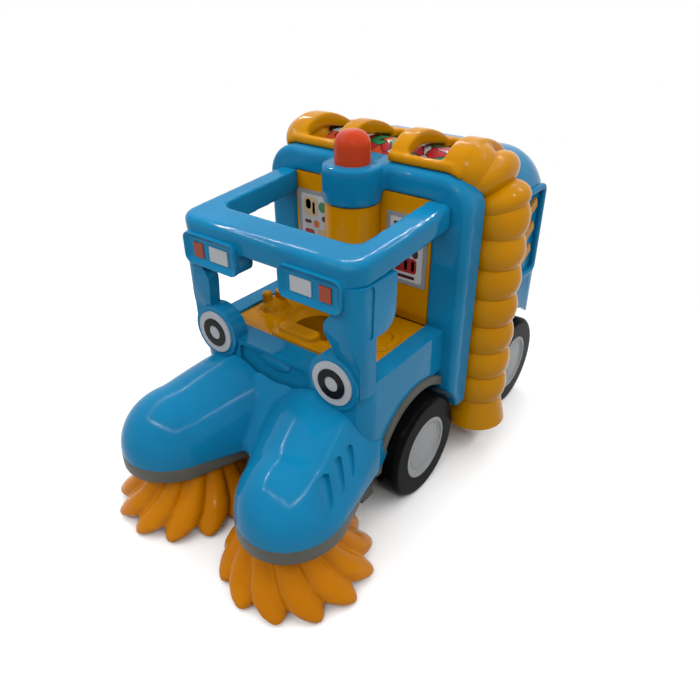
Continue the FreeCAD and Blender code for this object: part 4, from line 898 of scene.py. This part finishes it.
# %% [markdown]
# ## Pieces that keep their CAD shape
# The rest is right as it comes from the CAD, and only needs its finish.

# %% Give the other nodes their finish
kept = {"hose_left": abs_yellow, "hose_right": abs_yellow, "headlamp_plates": abs_white,
        "indicator_plates": inks["rust"], "rear_lamps": abs_orange, "round_lamp_discs": abs_white,
        "round_lamp_rings": abs_black, "wall_pictures": silver_label, "side_emblems": abs_yellow,
        "front_axle": steel, "rear_axle": steel, "front_tyre_left": pvc_tyre, "front_tyre_right": pvc_tyre,
        "rear_tyre_left": pvc_tyre, "rear_tyre_right": pvc_tyre}
for node, material in kept.items():
    nodes[node].data.materials.clear()
    nodes[node].data.materials.append(material)
    pick(nodes[node])
    bpy.ops.object.shade_smooth_by_angle(angle=math.radians(32))
clear_selection()
print(len(kept), "nodes keep their CAD shape")

# %% [markdown]
# ## The studio
# The truck stands on a plain white paper table in a light tent. A square frame of thin lamp strips leaves
# the fine four-sided glints that show on the glossy nose and hose. A wide lamp above, which reflections
# leave out, and a pale surround fill the shadows. Towards the edge the paper fades into plain white, as far
# as the camera and mirror-like surfaces see it.

# %% Floor
floor_size, fade_from, fade_to = 8, 0.10, 0.24
paper_in_light, paper_seen = "#B4B4B4", "#FAFAFA"


def seen_directly(tree):
    """1 where the camera, a shiny surface or a clear one looks, and 0 for scattered light."""
    path = add_node(tree, "LightPath")
    shiny = add_node(tree, "Math", {0: path.outputs["Is Camera Ray"], 1: path.outputs["Is Glossy Ray"]},
                     operation="MAXIMUM")
    clear = add_node(tree, "Math", {0: shiny.outputs["Value"], 1: path.outputs["Is Transmission Ray"]},
                     operation="MAXIMUM")
    return clear.outputs["Value"]


bpy.ops.mesh.primitive_plane_add(size=floor_size, location=(0, 0, 0))
floor = bpy.context.object
floor.name = "studio_floor"
paper, tree, shader, place = new_material("studio_paper")
shader.inputs["Roughness"].default_value = 0.95
shader.inputs["Specular IOR Level"].default_value = 0.1
seen = seen_directly(tree)
tint = add_node(tree, "Mix", {"Factor": seen, "A": colour(paper_in_light), "B": colour(paper_seen)},
                data_type="RGBA")
tree.links.new(tint.outputs["Result"], shader.inputs["Base Color"])
far = add_node(tree, "VectorMath", {0: place}, operation="LENGTH")
fade = add_node(tree, "MapRange", {"Value": far.outputs["Value"], "From Min": fade_from, "From Max": fade_to},
                interpolation_type="SMOOTHSTEP")
share = add_node(tree, "Math", {0: fade.outputs["Result"], 1: seen}, operation="MULTIPLY")
white = add_node(tree, "Emission", {"Color": colour("#FFFFFF"), "Strength": 1})
blend = add_node(tree, "MixShader", {0: share.outputs["Value"], 1: shader.outputs["BSDF"],
                                     2: white.outputs["Emission"]})
tree.links.new(blend.outputs["Shader"], tree.nodes["Material Output"].inputs["Surface"])
floor.data.materials.append(paper)

# %% World
fill_level = 0.36
world = bpy.data.worlds.new("studio")
bpy.context.scene.world = world
world.use_nodes = True
sky = world.node_tree
sky.nodes.clear()
fill = add_node(sky, "Background", {"Color": colour("#FFFFFF"), "Strength": fill_level})
backdrop = add_node(sky, "Background", {"Color": colour("#FFFFFF"), "Strength": 1})
mixed = add_node(sky, "MixShader", {0: seen_directly(sky), 1: fill.outputs["Background"],
                                    2: backdrop.outputs["Background"]})
add_node(sky, "OutputWorld", {"Surface": mixed.outputs["Shader"]})


# %% Lamps
def lamp(name, place, aim, width, length, power):
    """A rectangular lamp that points at a spot on the truck, its width level."""
    light = bpy.data.lights.new(name, "AREA")
    light.shape = "RECTANGLE"
    light.size = width
    light.size_y = length
    light.energy = power
    thing = bpy.data.objects.new(name, light)
    bpy.context.scene.collection.objects.link(thing)
    thing.location = place
    thing.rotation_mode = "QUATERNION"
    thing.rotation_quaternion = (Vector(aim) - Vector(place)).to_track_quat("-Z", "Y")
    return thing


lit_spot = (0, 0, 0.05)
strip_reach, strip_height, strip_length, strip_width, strip_power = 0.42, 0.50, 0.78, 0.0025, 1.8
overhead_place, overhead_size, overhead_power = (0, -0.05, 0.9), 0.6, 1.9
for side, across, along in (("front", 0, -1), ("rear", 0, 1), ("left", 1, 0), ("right", -1, 0)):
    lamp("strip_" + side, (across * strip_reach, along * strip_reach, strip_height), lit_spot, strip_length,
         strip_width, strip_power)
overhead = lamp("overhead", overhead_place, lit_spot, overhead_size, overhead_size, overhead_power)
overhead.visible_glossy = False
bpy.context.scene.view_settings.view_transform = "Standard"
